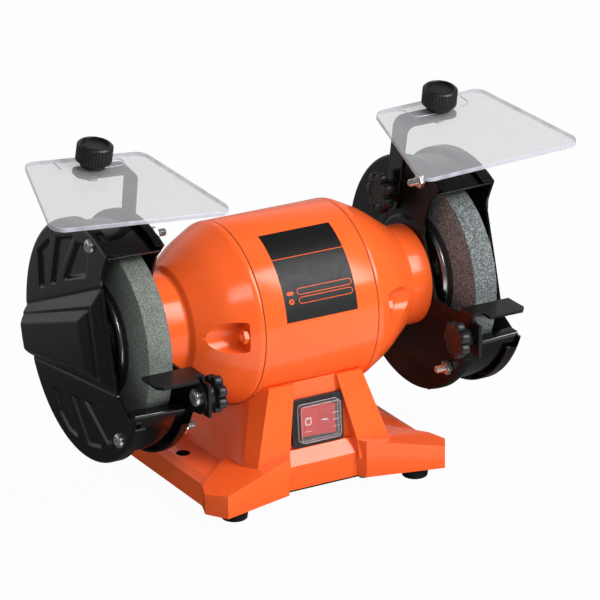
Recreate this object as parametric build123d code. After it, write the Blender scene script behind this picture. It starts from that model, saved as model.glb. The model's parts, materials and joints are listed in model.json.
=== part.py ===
from build123d import *
import os
from math import atan2, cos, degrees, hypot, radians, sin, sqrt

# A double-ended bench grinder, in millimetres. +X runs along the shaft to the operator's right, the
# operator stands at -Y, +Z is up. The origin is midway between the two bench bolt holes, on the seat
# that the bolt heads press on.

# Stance: heights above the bench
shaft_height = 110.5
bolt_seat_height = 22.0
foot_height = 7.5

# Fits
running_gap = 0.05
seat_gap = 0.02
screw_gap = 0.15
cradle_gap = 0.2

# Grinding wheels, one each side of the motor
wheel_diameter = 125.0
wheel_thickness = 16.0
wheel_bore = 12.7
wheel_plane = 114.8

# Wheel flanges, paper blotters and spindle nuts
flange_diameter = 66.0
flange_thickness = 4.6
flange_hub_diameter = 26.0
flange_land = 6.0
blotter_diameter = 73.0
blotter_thickness = 0.6
spindle_nut_width = 19.0
spindle_nut_height = 6.5
thread_tail = 1.2

# Motor shell and the bells that close it
shell_radius = 57.6
shell_wall = 3.0
shell_half_length = 40.0
bell_shoulder_x = 3.0
bell_waist_x = 20.0
bell_waist_drop = 8.6
bell_foot_x = 37.0
bell_foot_drop = 21.4
bell_crease_x = 39.4
bell_shoulder_round = 8.0
bell_waist_round = 70.0
bell_foot_round = 3.0
bell_crease_round = 2.5
bell_wall = 5.0
bell_rim_wall = 13.0
neck_radius = 32.2
spigot_length = 4.0
spigot_wall = 3.2

# Tie rods that hold the bells on the shell
tie_rod_inset = 7.7
tie_rod_radius = 2.5
tie_rod_rise = 2.5
tie_pocket_radius = 9.9
tie_pocket_seat = 9.0
tie_nut_width = 8.0
tie_nut_height = 4.0

# Shaft, rotor and stator
shaft_core_radius = 10.0
shaft_mid_radius = 9.0
bearing_bore = 15.0
shaft_shoulder_x = 60.0
stator_depth = 24.1
air_gap = 0.5
stack_half_length = 25.0
end_ring_height = 6.0
end_ring_wall = 11.0
winding_height = 11.5
winding_wall = 13.0
slot_count = 24
slot_depth = 12.0
slot_width = 3.6

# Ball bearings
bearing_width = 11.0
bearing_outer_diameter = 35.0
bearing_setback = 7.2
ball_diameter = 5.95
ball_count = 7
ball_gap = 0.03
ring_wall = 2.6
washer_thickness = 0.8

# Wheel guards: stamped sheet back plate, band and cover
guard_radius = 75.8
sheet = 1.5
plate_to_wheel = 9.1
cover_to_wheel = 12.7
plate_dish_radius = 36.0
plate_dish_depth = 1.5
plate_shaft_hole = 12.0
plate_skirt = 6.5
cover_skirt = 11.0
skirt_round = 2.5
band_top_angle = 61.0
band_low_angle = -14.0
band_ledge = 7.0
band_lap = 1.6
skirt_low_angle = -31.0
opening_top_inset = 28.0
opening_waist_z = -20.0
opening_waist_y = 47.0
opening_sill_z = -28.4
plate_edge_top_y = 17.0
plate_edge_top_z = 37.0
plate_edge_low_y = 34.0
plate_edge_low_z = -4.5
arm_emboss_height = 5.0
arm_emboss_step = 3.0
flute_depth = 2.0
flute_slope = 2.2

# Guard screws and the screws that hold each back plate to its bell
guard_screw_radius = 68.5
guard_screw_top_angle = 76.0
guard_screw_low_angle = -44.0
guard_screw_diameter = 4.8
guard_screw_tail = 6.0
guard_nut_width = 8.0
guard_nut_height = 4.2
pan_head_diameter = 9.0
pan_head_height = 2.6
mount_screw_count = 3
mount_screw_radius = 22.0
mount_screw_diameter = 4.0
mount_screw_length = 11.0

# Clamp bolts and star knobs of the tool rests and shield arms
clamp_bolt_diameter = 6.0
clamp_head_diameter = 11.0
clamp_head_height = 3.2
knob_lobes = 7
rest_knob_diameter = 24.0
arm_knob_diameter = 27.0
knob_lobe_diameter = 7.4
knob_head_length = 8.0
knob_neck_length = 4.5
knob_neck_diameter = 13.0
bracket_sheet = 2.0

# Tool rests
rest_bolt_y = -75.5
rest_bolt_z = -18.4
ear_radius = 10.5
ear_end_angle = -72.0
ear_flow = 18.0
rest_top_z = -2.5
rest_back_gap = 2.5
rest_front_y = -87.0
rest_outer_x = 129.5
rest_lip = 4.5
rest_notch = 6.0
rest_notch_depth = 8.0
rest_notch_drop = 5.0
rest_bend = 2.4
rest_arm_drop = 26.0
rest_slot_travel = 8.0

# Shield arms
arm_bolt_y = 17.0
arm_bolt_z = 50.5
arm_width = 15.0
arm_reach = 52.0
arm_slot_travel = 8.0
arm_tail = 10.5
arm_bend = 6.0
arm_tab_reach = 12.0
right_arm_lean = 11.0
left_arm_lean = 9.5
right_arm_raise = -2.1
left_arm_raise = 1.2
right_tab_rise = 1.0
left_tab_rise = 3.9

# Eye shields with their screws and knobs
shield_screw_x = 122.0
shield_thickness = 3.0
shield_rear_width = 79.6
shield_front_width = 121.2
shield_depth = 86.6
shield_corner = 8.0
shield_setback = 13.0
right_shield_yaw = 2.3
left_shield_yaw = 2.3
shield_screw_diameter = 5.0
shield_screw_head_width = 8.0
shield_screw_head_height = 3.4
shield_knob_diameter = 22.4
shield_knob_height = 12.4
shield_knob_recess = 1.6
shield_knob_recess_diameter = 16.5
shield_collar_diameter = 16.0
shield_collar_height = 2.8
shield_knob_flutes = 36
shield_flute_radius = 0.6

# Base casting: pillar under the motor
cradle_drop = 36.5
cradle_lip = 3.4
cradle_wall = 5.0
pillar_top_half = 37.7
pillar_low_half = 54.5
pillar_low_front = 60.3
pillar_low_height = 20.0
pillar_chamfer = 4.8
pillar_top_chamfer_run = 15.0
pillar_low_chamfer_run = 9.3
casting_wall = 4.5
cavity_top_gap = 50.5

# Base casting: switch recess, repeated at the back for the cord gland
recess_low_half = 24.2
recess_top_half = 14.6
panel_low_y = 48.9
panel_top_y = 45.9
panel_wall = 3.0
sill_y = 51.3
sill_height = 31.6
centre_front_y = 56.8
centre_edge_height = 23.1

# Base casting: splayed feet with their mounds, and the bolt flanges
toe_x = 27.7
toe_y = 62.8
foot_front_x = 77.4
foot_front_y = 75.0
foot_side_x = 85.9
foot_side_y = 61.1
heel_x = 81.5
heel_y = 49.0
foot_slope = 0.187
mound_height = 28.1
mound_slope = 0.09
mound_draft = 14.0
flange_top_x = 73.5
flange_facet_x = 79.0
flange_facet_height = 19.5
flange_plate = 4.5
flange_pocket_half = 30.0

# Bench bolts
bench_bolt_spacing = 136.0
bench_bolt_hole = 9.0

# Rubber feet, bottom plate and their screws
foot_pad_x = 64.7
foot_pad_y = 59.5
foot_pad_radius = 9.0
foot_pad_taper = 1.0
foot_screw_diameter = 4.0
foot_screw_head = 7.6
foot_screw_sink = 1.6
foot_screw_length = 14.0
bottom_plate_thickness = 1.2
bottom_plate_half = 53.0
plate_screw_x = 30.0
plate_screw_diameter = 3.0
plate_screw_head = 5.6
plate_screw_length = 9.0

# Motor bolts through the cradle
motor_bolt_x = 22.0
motor_bolt_diameter = 5.0
motor_bolt_head_width = 8.0
motor_bolt_head_height = 3.5
motor_bolt_bite = 2.4

# Rocker switch with its clear boot
switch_height = 47.6
switch_width = 36.0
switch_tall = 30.7
switch_rim = 2.6
switch_body_width = 30.0
switch_body_tall = 23.0
switch_body_depth = 10.0
rocker_width = 23.0
rocker_tall = 19.0
rocker_gap = 0.6
rocker_tilt = 8.0
rocker_pivot_out = 1.0
rocker_pin_diameter = 2.4
rocker_well_depth = 6.5
boot_width = 28.8
boot_tall = 24.5
boot_height = 5.0
boot_wall = 0.9
terminal_height = 6.0
terminal_spread = 14.0

# Run capacitor on the bottom plate, and the cord gland at the back
capacitor_radius = 14.0
capacitor_length = 44.0
capacitor_y = 16.0
strap_width = 12.0
strap_thickness = 1.0
strap_tab = 9.0
gland_height = 46.0
gland_flange_diameter = 20.0
gland_flange_thickness = 3.0
gland_body_diameter = 14.0
gland_bore = 7.5
gland_nut_width = 19.0
gland_nut_height = 4.0

# Stations along the shaft that follow from the sizes above
wheel_in = wheel_plane - wheel_thickness / 2
wheel_out = wheel_plane + wheel_thickness / 2
plate_out = wheel_in - plate_to_wheel
plate_in = plate_out - sheet
neck_end = plate_in - plate_dish_depth
cover_in = wheel_out + cover_to_wheel
cover_out = cover_in + sheet
flange_in = wheel_in - blotter_thickness - flange_thickness
flange_out = wheel_out + blotter_thickness + flange_thickness
bearing_out = neck_end - bearing_setback - washer_thickness
bearing_in = bearing_out - bearing_width
bracket_out = plate_in - 0.1
bracket_in = bracket_out - bracket_sheet
bolt_tip = bracket_in - knob_neck_length - 0.65 * knob_head_length

# Sizes of the casting that follow from the sizes above
cradle_top = shaft_height - cradle_drop
pillar_top_front = sqrt(shell_radius**2 - cradle_drop**2) + cradle_lip
panel_lean = degrees(atan2(panel_low_y - panel_top_y, cradle_top - sill_height))
pitch_radius = (bearing_bore + bearing_outer_diameter) / 4
tie_rod_pitch_radius = shell_radius - tie_rod_inset
rotor_radius = shell_radius - shell_wall - stator_depth - air_gap
wheel_shaft_radius = wheel_bore / 2 - seat_gap

on_bench = Pos(0, 0, -bolt_seat_height)
on_shaft = Pos(0, 0, shaft_height - bolt_seat_height)


def rod(radius, start, end, y=0.0, z=0.0):
    """Round bar along X between two stations."""
    return extrude(Plane.YZ.offset(start) * Pos(y, z) * Circle(radius), end - start)


def tube(outer, inner, start, end):
    """Round tube along X about the shaft axis."""
    return rod(outer, start, end) - rod(inner, start, end)


def hexagon(width, start, end, y=0.0, z=0.0):
    """Hexagonal bar along X, by its width across flats."""
    outline = RegularPolygon(width / 2, 6, major_radius=False)
    return extrude(Plane.YZ.offset(start) * Pos(y, z) * outline, end - start)


def post(radius, start, end, x=0.0, y=0.0):
    """Round bar along Z between two heights."""
    return extrude(Plane.XY.offset(start) * Pos(x, y) * Circle(radius), end - start)


def prism_x(points, start, end):
    """Prism along X from a (y, z) outline."""
    return extrude(Plane.YZ.offset(start) * Polygon(*points), end - start, dir=(1, 0, 0))


def prism_y(points, start, end):
    """Prism along Y from an (x, z) outline."""
    return extrude(Plane.XZ.offset(-start) * Polygon(*points), end - start, dir=(0, 1, 0))


def prism_z(points, start, end):
    """Prism along Z from an (x, y) outline."""
    return extrude(Plane.XY.offset(start) * Polygon(*points), end - start, dir=(0, 0, 1))


def turned(points, rounds=None):
    """Body of revolution about the shaft axis from an (x, radius) outline, corners rounded on demand."""
    if rounds is None:
        return revolve(Plane.XZ * Polygon(*points), Axis.X)
    outline = FilletPolyline(*points, radius=rounds, close=True)
    return revolve(Plane.XZ * make_face(outline), Axis.X)


def group(pieces):
    """Several loose pieces of one kind as one node."""
    return Compound([solid for piece in pieces for solid in piece.solids()])


def mirrored(piece):
    """The same piece on the other side of the motor."""
    return mirror(piece, about=Plane.YZ)


def both_sides(piece):
    """A piece of the right side together with its mirror image on the left."""
    return group([piece, mirrored(piece)])


def four_corners(piece):
    """A piece of the right front corner repeated at the other three."""
    pair = group([piece, mirrored(piece)])
    return group([pair, mirror(pair, about=Plane.XZ)])


def around(radius, angle):
    """Point (y, z) at an angle measured up from the front, about the shaft axis."""
    return (-radius * cos(radians(angle)), radius * sin(radians(angle)))


# Base casting and what is fixed to it, built from the bench up


def pillar():
    """Eight-sided pillar lofted from the wide section above the feet to the edge of the cradle."""
    sections = []
    low = (pillar_low_half, pillar_low_front, pillar_low_chamfer_run, pillar_low_height)
    top = (pillar_top_half, pillar_top_front, pillar_top_chamfer_run, cradle_top)
    for half, front, run, height in (low, top):
        inner = half - pillar_chamfer
        side = front - run
        right = [(inner, -front), (half, -side), (half, side), (inner, front)]
        left = [(-x, y) for x, y in reversed(right)]
        sections.append(Plane.XY.offset(height) * Polygon(*right, *left))
    return loft(sections)


def foot():
    """Right front foot: a splayed plan cut off by a top face that slopes down outwards."""
    plan = [
        (recess_low_half, -centre_front_y),
        (toe_x, -toe_y),
        (foot_front_x, -foot_front_y),
        (foot_side_x, -foot_side_y),
        (heel_x, -heel_y),
        (pillar_low_half, -0.6 * heel_y),
        (recess_low_half, -0.6 * heel_y),
    ]
    drop = foot_slope * (foot_side_x - toe_x)
    side = [
        (0, foot_height),
        (foot_side_x, foot_height),
        (foot_side_x, sill_height - drop),
        (toe_x, sill_height),
        (0, sill_height),
    ]
    return prism_z(plan, foot_height, sill_height) & prism_y(side, -foot_front_y, 0)


def mound():
    """Raised pad on the right front foot, with drafted sides and a top that rises outwards."""
    inner_x = foot_front_x - 30.0
    outer_x = foot_front_x + 2.0
    plan = [
        (inner_x, -toe_y - 2.5),
        (inner_x + 11.0, -heel_y + 2.5),
        (outer_x + 3.0, -foot_side_y - 3.0),
        (outer_x - 2.0, -foot_front_y + 4.5),
    ]
    low = pillar_low_height - 2.0
    rise = mound_height + mound_slope * (outer_x - inner_x)
    block = extrude(Plane.XY.offset(low) * Polygon(*plan), rise - low, taper=mound_draft)
    side = [(inner_x, low), (outer_x + 8, low), (outer_x + 8, rise), (inner_x, mound_height)]
    return block & prism_y(side, -foot_front_y, 0)


def bolt_flange():
    """Right side flange between the feet, its outer edge bevelled below the bolt seat."""
    outline = [
        (0, foot_height),
        (heel_x, foot_height),
        (flange_facet_x, flange_facet_height),
        (flange_top_x, bolt_seat_height),
        (0, bolt_seat_height),
    ]
    return prism_y(outline, -heel_y, heel_y)


def recess():
    """What is cut away in front of the leaning switch panel, its sill and the centre of the base."""
    reach = foot_front_y + 10.0
    above = cradle_top + 2.0
    side = [
        (-panel_low_y, sill_height),
        (-panel_top_y, cradle_top),
        (-panel_top_y, above),
        (-reach, above),
        (-reach, 0),
        (-centre_front_y, 0),
        (-centre_front_y, centre_edge_height),
        (-sill_y, sill_height),
    ]
    half = [(recess_low_half, 0), (recess_low_half, sill_height), (recess_top_half, above)]
    front = half + [(-x, z) for x, z in reversed(half)]
    return prism_x(side, -recess_low_half, recess_low_half) & prism_y(front, -reach, 0)


def cavity():
    """Hollow of the base, open below and roofed by the wall of the cradle."""
    top = shaft_height - cavity_top_gap
    low = sill_height - casting_wall
    centre = centre_front_y - casting_wall
    half = [
        (centre, 0),
        (centre, centre_edge_height - casting_wall),
        (panel_y(low) - panel_wall, low),
        (panel_y(top) - panel_wall, top),
    ]
    side = half + [(-y, z) for y, z in reversed(half)]
    wide = pillar_low_half - casting_wall
    fall = (top - pillar_low_height) / (cradle_top - pillar_low_height)
    narrow = wide - fall * (pillar_low_half - pillar_top_half)
    half = [(wide, 0), (wide, pillar_low_height), (narrow, top)]
    front = half + [(-x, z) for x, z in reversed(half)]
    hollow = prism_x(side, -wide, wide) & prism_y(front, -centre, centre)
    return hollow - rod(shell_radius + cradle_wall, -wide, wide, 0, shaft_height)


def panel_y(height):
    """Distance of the leaning panels from the middle of the base at a height above the bench."""
    share = (height - sill_height) / (cradle_top - sill_height)
    return panel_low_y + share * (panel_top_y - panel_low_y)


def switch_plane(out=0.0):
    """Plane of the front panel at the switch: local X to the right, local Y up the panel."""
    y = -panel_y(switch_height)
    normal = (0, -cos(radians(panel_lean)), sin(radians(panel_lean)))
    return Plane(origin=(0, y, switch_height), x_dir=(1, 0, 0), z_dir=normal).offset(out)


def gland_plane(out=0.0):
    """Plane of the rear panel at the cord gland, facing backwards."""
    y = panel_y(gland_height)
    normal = (0, cos(radians(panel_lean)), sin(radians(panel_lean)))
    return Plane(origin=(0, y, gland_height), x_dir=(-1, 0, 0), z_dir=normal).offset(out)


def base_casting():
    """Hollow casting: pillar with the motor's cradle, four feet with mounds, two bolt flanges."""
    centre = prism_z(
        [(s * pillar_low_half, t * centre_front_y) for s, t in ((-1, -1), (1, -1), (1, 1), (-1, 1))],
        foot_height,
        bolt_seat_height,
    )
    casting = pillar() + centre
    for side in (foot() + mound(), mirrored(foot() + mound())):
        casting += side
        casting += mirror(side, about=Plane.XZ)
    casting += bolt_flange()
    casting += mirrored(bolt_flange())
    casting -= recess()
    casting -= mirror(recess(), about=Plane.XZ)
    casting -= rod(shell_radius + cradle_gap, -foot_side_x, foot_side_x, 0, shaft_height)
    casting -= cavity()
    for x in (-1, 1):
        pocket_in = pillar_low_half + casting_wall
        pocket_out = flange_facet_x - casting_wall
        pocket = Pos(x * (pocket_in + pocket_out) / 2, 0, 0) * Box(
            pocket_out - pocket_in, 2 * flange_pocket_half, 2 * (bolt_seat_height - flange_plate)
        )
        casting -= pocket
        casting -= post(bench_bolt_hole / 2, 0, bolt_seat_height + 1, x * bench_bolt_spacing / 2)
        casting -= post(motor_bolt_diameter / 2 + screw_gap, foot_height, shaft_height, x * motor_bolt_x)
        for y in (-1, 1):
            depth = foot_screw_sink + 2.0 + foot_screw_length + 0.5
            casting -= post(foot_screw_diameter / 2 + seat_gap, 0, depth, x * foot_pad_x, y * foot_pad_y)
            hole = plate_screw_diameter / 2 + seat_gap
            depth = foot_height + plate_screw_length
            casting -= post(hole, 0, depth, x * plate_screw_x, y * plate_screw_y())
    opening = Rectangle(switch_body_width + 2 * screw_gap, switch_body_tall + 2 * screw_gap)
    ahead = 3 * panel_wall
    depth = switch_body_depth + terminal_height + cradle_gap
    casting -= extrude(switch_plane(ahead) * opening, -ahead - depth)
    casting -= extrude(gland_plane() * Circle(gland_body_diameter / 2 + screw_gap), ahead, both=True)
    nut_room = gland_plane(-panel_wall) * Circle(0.6 * gland_nut_width)
    casting -= extrude(nut_room, -gland_nut_height - gland_flange_thickness)
    return casting


def plate_screw_y():
    """Row of the bottom plate's screws, in the middle of the casting's front and rear walls."""
    return centre_front_y - casting_wall / 2


def bottom_plate():
    """Sheet that closes the hollow from below, screwed to the front and rear walls."""
    long = 2 * (centre_front_y - 0.5)
    outline = RectangleRounded(2 * bottom_plate_half, long, 5.0)
    for x in (-1, 1):
        for y in (-1, 1):
            spot = Pos(x * plate_screw_x, y * plate_screw_y())
            outline -= spot * Circle(plate_screw_diameter / 2 + screw_gap)
    return extrude(Plane.XY.offset(foot_height - bottom_plate_thickness) * outline, bottom_plate_thickness)


def plate_screws():
    """Four pan-head screws of the bottom plate."""
    seat = foot_height - bottom_plate_thickness
    head = post(plate_screw_head / 2, seat - 1.6, seat, plate_screw_x, -plate_screw_y())
    length = seat + plate_screw_length
    shank = post(plate_screw_diameter / 2, seat, length, plate_screw_x, -plate_screw_y())
    return four_corners(head + shank)


def rubber_feet():
    """Four tapered rubber feet with a sunk hole for the screw head."""
    pad = Cone(foot_pad_radius - foot_pad_taper, foot_pad_radius, foot_height)
    pad = Pos(foot_pad_x, -foot_pad_y, foot_height / 2) * pad
    seat = foot_screw_sink + 2.0
    pad -= post(foot_screw_head / 2 + screw_gap, 0, seat, foot_pad_x, -foot_pad_y)
    pad -= post(foot_screw_diameter / 2 + screw_gap, 0, foot_height, foot_pad_x, -foot_pad_y)
    return four_corners(pad)


def foot_screws():
    """Four screws that hold the rubber feet."""
    seat = foot_screw_sink + 2.0
    head = post(foot_screw_head / 2, foot_screw_sink, seat, foot_pad_x, -foot_pad_y)
    shank = post(foot_screw_diameter / 2, seat, seat + foot_screw_length, foot_pad_x, -foot_pad_y)
    return four_corners(head + shank)


def motor_bolts():
    """Two hexagon bolts from inside the base, up through the cradle into the shell."""
    seat = shaft_height - shell_radius - cradle_wall
    outline = RegularPolygon(motor_bolt_head_width / 2, 6, major_radius=False)
    head_plane = Plane.XY.offset(seat - motor_bolt_head_height)
    head = extrude(head_plane * Pos(motor_bolt_x, 0) * outline, motor_bolt_head_height)
    tip = shaft_height - shell_radius + motor_bolt_bite
    return both_sides(head + post(motor_bolt_diameter / 2, seat, tip, motor_bolt_x))


def switch_housing():
    """Switch body in the panel: a proud rim, a well for the rocker and the bearings of its pins."""
    rim = extrude(switch_plane() * RectangleRounded(switch_width, switch_tall, 1.6), switch_rim)
    body = extrude(switch_plane() * Rectangle(switch_body_width, switch_body_tall), -switch_body_depth)
    well = Rectangle(rocker_width + 2 * rocker_gap, rocker_tall + 2 * rocker_gap)
    housing = rim + body
    housing -= extrude(switch_plane(-rocker_well_depth) * well, rocker_well_depth + switch_rim + 1)
    pivot = switch_plane(rocker_pivot_out)
    pin = Cylinder(rocker_pin_diameter / 2 + running_gap, rocker_tall + 2 * rocker_gap + 3.4)
    return housing - pivot * Rot(90, 0, 0) * pin


def switch_rocker():
    """Rocker with a shallow V across its face, resting with its left side pressed in."""
    half = rocker_width / 2
    outline = [
        (-half, -1.2),
        (-half + 4, -4.6),
        (half - 4, -4.6),
        (half, -1.2),
        (half, 2.6),
        (0, 1.2),
        (-half, 2.6),
    ]
    paddle = extrude(Plane.XZ * Polygon(*outline), rocker_tall / 2, dir=(0, 1, 0), both=True)
    pin = Rot(90, 0, 0) * Cylinder(rocker_pin_diameter / 2, rocker_tall + 2 * rocker_gap + 2.4)
    return switch_plane(rocker_pivot_out) * Rot(0, -rocker_tilt, 0) * (paddle + pin)


def switch_boot():
    """Clear flexible boot over the rocker: a thin shell with rounded corners."""
    outer = extrude(switch_plane(switch_rim) * RectangleRounded(boot_width, boot_tall, 2.4), boot_height)
    inner = RectangleRounded(boot_width - 2 * boot_wall, boot_tall - 2 * boot_wall, 1.6)
    return outer - extrude(switch_plane(switch_rim) * inner, boot_height - boot_wall)


def switch_terminals():
    """Four flat terminals at the back of the switch."""
    blades = []
    for u in (-0.5, 0.5):
        for v in (-4.0, 3.0):
            blade = Pos(u * terminal_spread, v) * Rectangle(0.8, 4.8)
            blades.append(extrude(switch_plane(-switch_body_depth) * blade, -terminal_height))
    return group(blades)


def run_capacitor():
    """Round can of the motor's capacitor, lying on the bottom plate, with two terminals."""
    z = foot_height + capacitor_radius + 0.1
    half = capacitor_length / 2
    can = rod(capacitor_radius, -half, half, capacitor_y, z)
    can = fillet(can.edges().filter_by(GeomType.CIRCLE), 1.5)
    for y in (-5, 5):
        can += Pos(half + 3, capacitor_y + y, z) * Box(6, 5, 0.8)
    return can


def capacitor_strap():
    """Bent strip over the capacitor with a tab each side on the bottom plate."""
    z = foot_height + capacitor_radius + 0.1
    inner = capacitor_radius + 0.1
    outer = inner + strap_thickness
    foot = foot_height + strap_thickness
    arch = Pos(0, z) * Circle(outer) + Pos(0, (z + foot_height) / 2) * Rectangle(2 * outer, z - foot_height)
    tabs = Pos(0, (foot_height + foot) / 2) * Rectangle(2 * (outer + strap_tab), strap_thickness)
    hollow = Pos(0, z) * Circle(inner) + Pos(0, (z + foot_height) / 2) * Rectangle(2 * inner, z - foot_height)
    room = Pos(0, foot_height + 2 * outer) * Rectangle(4 * outer, 4 * outer)
    section = Plane.YZ * Pos(capacitor_y, 0) * ((arch + tabs - hollow) & room)
    return extrude(section, strap_width / 2, both=True)


def cord_gland():
    """Cord inlet in the rear panel: flanged bush with a tapered nose, held by a nut from inside."""
    bush = extrude(gland_plane() * Circle(gland_flange_diameter / 2), gland_flange_thickness)
    nose = Cone(gland_body_diameter / 2 + 1.5, gland_body_diameter / 2 - 1, 9.0)
    bush += gland_plane(gland_flange_thickness + 4.5) * nose
    reach = panel_wall + gland_nut_height + 1.5
    bush += extrude(gland_plane() * Circle(gland_body_diameter / 2), -reach)
    bush -= extrude(gland_plane(-reach) * Circle(gland_bore / 2), reach + gland_flange_thickness + 10)
    outline = RegularPolygon(gland_nut_width / 2, 6, major_radius=False)
    outline -= Circle(gland_body_diameter / 2 + seat_gap)
    nut = extrude(gland_plane(-panel_wall) * outline, -gland_nut_height)
    return group([bush, nut])


# Motor, built about the shaft axis


def tie_rod_places():
    """Places (y, z) of the front and the rear tie rod."""
    y = sqrt(tie_rod_pitch_radius**2 - tie_rod_rise**2)
    return [(-y, tie_rod_rise), (y, tie_rod_rise)]


def motor_shell():
    """Rolled shell of the motor, drilled below for the motor bolts."""
    shell = tube(shell_radius, shell_radius - shell_wall, -shell_half_length, shell_half_length)
    for x in (-motor_bolt_x, motor_bolt_x):
        shell -= post(motor_bolt_diameter / 2 + seat_gap, -shell_radius - 1, 0, x)
    return shell


def end_bell():
    """Right end bell: dome, cone and neck in one casting, with a bearing seat and tie-rod pockets."""
    seam = shell_half_length
    bore = bearing_outer_diameter / 2 + seat_gap
    rim_inside = shell_radius - bell_rim_wall
    points = [
        (seam, shell_radius),
        (seam + bell_shoulder_x, shell_radius),
        (seam + bell_waist_x, shell_radius - bell_waist_drop),
        (seam + bell_foot_x, shell_radius - bell_foot_drop),
        (seam + bell_crease_x, neck_radius),
        (neck_end, neck_radius),
        (neck_end, shaft_mid_radius + 1),
        (bearing_out + washer_thickness, shaft_mid_radius + 1),
        (bearing_out + washer_thickness, bore),
        (bearing_in - 2, bore),
        (bearing_in - 10, bore + bell_wall),
        (seam + tie_pocket_seat + 2, rim_inside - 6),
        (seam, rim_inside),
    ]
    curves = [bell_shoulder_round, bell_waist_round, bell_foot_round, bell_crease_round]
    rounds = [0] + curves + [1.2, 0, 0, 0, 0, 0, 0, 0]
    bell = turned(points, rounds)
    spigot = shell_radius - shell_wall - seat_gap
    bell += tube(spigot, spigot - spigot_wall, seam - spigot_length, seam + 1)
    for y, z in tie_rod_places():
        bell -= rod(tie_pocket_radius, seam + tie_pocket_seat, neck_end, y, z)
        bell -= rod(tie_rod_radius + screw_gap, seam - spigot_length, neck_end, y, z)
    for spot in mount_screw_places():
        bell -= rod(mount_screw_diameter / 2 + seat_gap, neck_end - mount_screw_length, neck_end, *spot)
    return bell


def tie_rods():
    """Two long rods through the motor, threaded at both ends."""
    reach = shell_half_length + tie_pocket_seat + tie_nut_height + 1.5
    return group([rod(tie_rod_radius, -reach, reach, y, z) for y, z in tie_rod_places()])


def tie_rod_nuts():
    """Nuts at the ends of the tie rods, in the pockets of the bells."""
    seat = shell_half_length + tie_pocket_seat
    nuts = []
    for y, z in tie_rod_places():
        nut = hexagon(tie_nut_width, seat, seat + tie_nut_height, y, z)
        nuts.append(nut - rod(tie_rod_radius + seat_gap, seat, seat + tie_nut_height, y, z))
    return both_sides(group(nuts))


def stator_core():
    """Laminated stator pressed in the shell, slotted towards the rotor."""
    outer = shell_radius - shell_wall - seat_gap
    bore = rotor_radius + air_gap
    core = tube(outer, bore, -stack_half_length, stack_half_length)
    for y, z in tie_rod_places():
        core -= rod(tie_rod_radius + 0.6, -stack_half_length, stack_half_length, y, z)
    slot = Pos(0, 0, bore + slot_depth / 2) * Box(2 * stack_half_length, slot_width, slot_depth + 2)
    for i in range(slot_count):
        core -= Rot(360 * (i + 0.5) / slot_count, 0, 0) * slot
    return core


def stator_windings():
    """Taped winding heads at both ends of the stator."""
    start = stack_half_length + 0.3
    end = start + winding_height
    inner = rotor_radius + 2.5
    outer = inner + winding_wall
    head = turned([(start, inner), (end, inner), (end, outer), (start, outer)], [0, 3.5, 3.5, 0])
    return both_sides(head)


def bearing_outer_rings():
    """Outer rings of the two ball bearings, grooved inside."""
    outer = bearing_outer_diameter / 2
    ring = tube(outer, outer - ring_wall, bearing_in, bearing_out)
    return both_sides(ring - ball_track())


def bearing_inner_rings():
    """Inner rings of the two ball bearings, grooved outside."""
    inner = bearing_bore / 2 + seat_gap
    ring = tube(inner + ring_wall, inner, bearing_in, bearing_out)
    return both_sides(ring - ball_track())


def ball_track():
    """Groove that the balls run in."""
    middle = (bearing_in + bearing_out) / 2
    return Pos(middle, 0, 0) * Rot(0, 90, 0) * Torus(pitch_radius, ball_diameter / 2 + ball_gap)


def bearing_balls():
    """Balls of both bearings in their cages."""
    middle = (bearing_in + bearing_out) / 2
    cage = tube(pitch_radius + 0.7, pitch_radius - 0.7, middle - 3.9, middle + 3.9)
    for i in range(ball_count):
        y, z = around(pitch_radius, 360 * i / ball_count)
        cage += Pos(middle, y, z) * Sphere(ball_diameter / 2)
    return both_sides(cage)


def preload_washers():
    """Spring washers behind the outer rings."""
    outer = bearing_outer_diameter / 2 - 0.3
    return both_sides(tube(outer, outer - 3.0, bearing_out, bearing_out + washer_thickness))


def shaft():
    """Stepped shaft: rotor seat, bearing seats, wheel seats and a thread at each end."""
    seat = bearing_bore / 2
    tip = flange_out + spindle_nut_height + thread_tail
    thread = wheel_shaft_radius - 0.35
    half = [
        (0, shaft_core_radius),
        (shaft_shoulder_x, shaft_core_radius),
        (shaft_shoulder_x, shaft_mid_radius),
        (bearing_in, shaft_mid_radius),
        (bearing_in, seat),
        (flange_in, seat),
        (flange_in, wheel_shaft_radius),
        (flange_out, wheel_shaft_radius),
        (flange_out, thread),
        (tip - 0.8, thread),
        (tip, thread - 0.8),
        (tip, 0),
    ]
    return turned(half + [(-x, r) for x, r in reversed(half[1:])])


def rotor_core():
    """Laminated rotor pressed on the shaft."""
    return tube(rotor_radius, shaft_core_radius + seat_gap, -stack_half_length, stack_half_length)


def rotor_end_rings():
    """Cast rings that close the rotor's bars at both ends."""
    start = stack_half_length
    outer = rotor_radius - 1.0
    return both_sides(tube(outer, outer - end_ring_wall, start, start + end_ring_height))


# Wheels and what clamps them, on the right side


def grinding_wheel():
    """Plain straight wheel with slightly broken edges."""
    radius = wheel_diameter / 2
    bore = wheel_bore / 2
    points = [(wheel_in, bore), (wheel_in, radius), (wheel_out, radius), (wheel_out, bore)]
    return turned(points, [0, 0.6, 0.6, 0])


def wheel_flange(outside):
    """Dished clamping flange that touches the wheel's blotter on an outer ring only."""
    rim = flange_diameter / 2
    hub = flange_hub_diameter / 2
    bore = wheel_shaft_radius + seat_gap
    thick = flange_thickness
    points = [
        (0, bore),
        (0, hub),
        (0.5 * thick, hub + 5),
        (0.42 * thick, rim - 2.2),
        (0.6 * thick, rim),
        (thick, rim),
        (thick, rim - flange_land),
        (0.82 * thick, rim - flange_land - 1),
        (0.82 * thick, bore),
    ]
    if outside:
        return turned([(flange_out - x, r) for x, r in points])
    return turned([(flange_in + x, r) for x, r in points])


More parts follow.
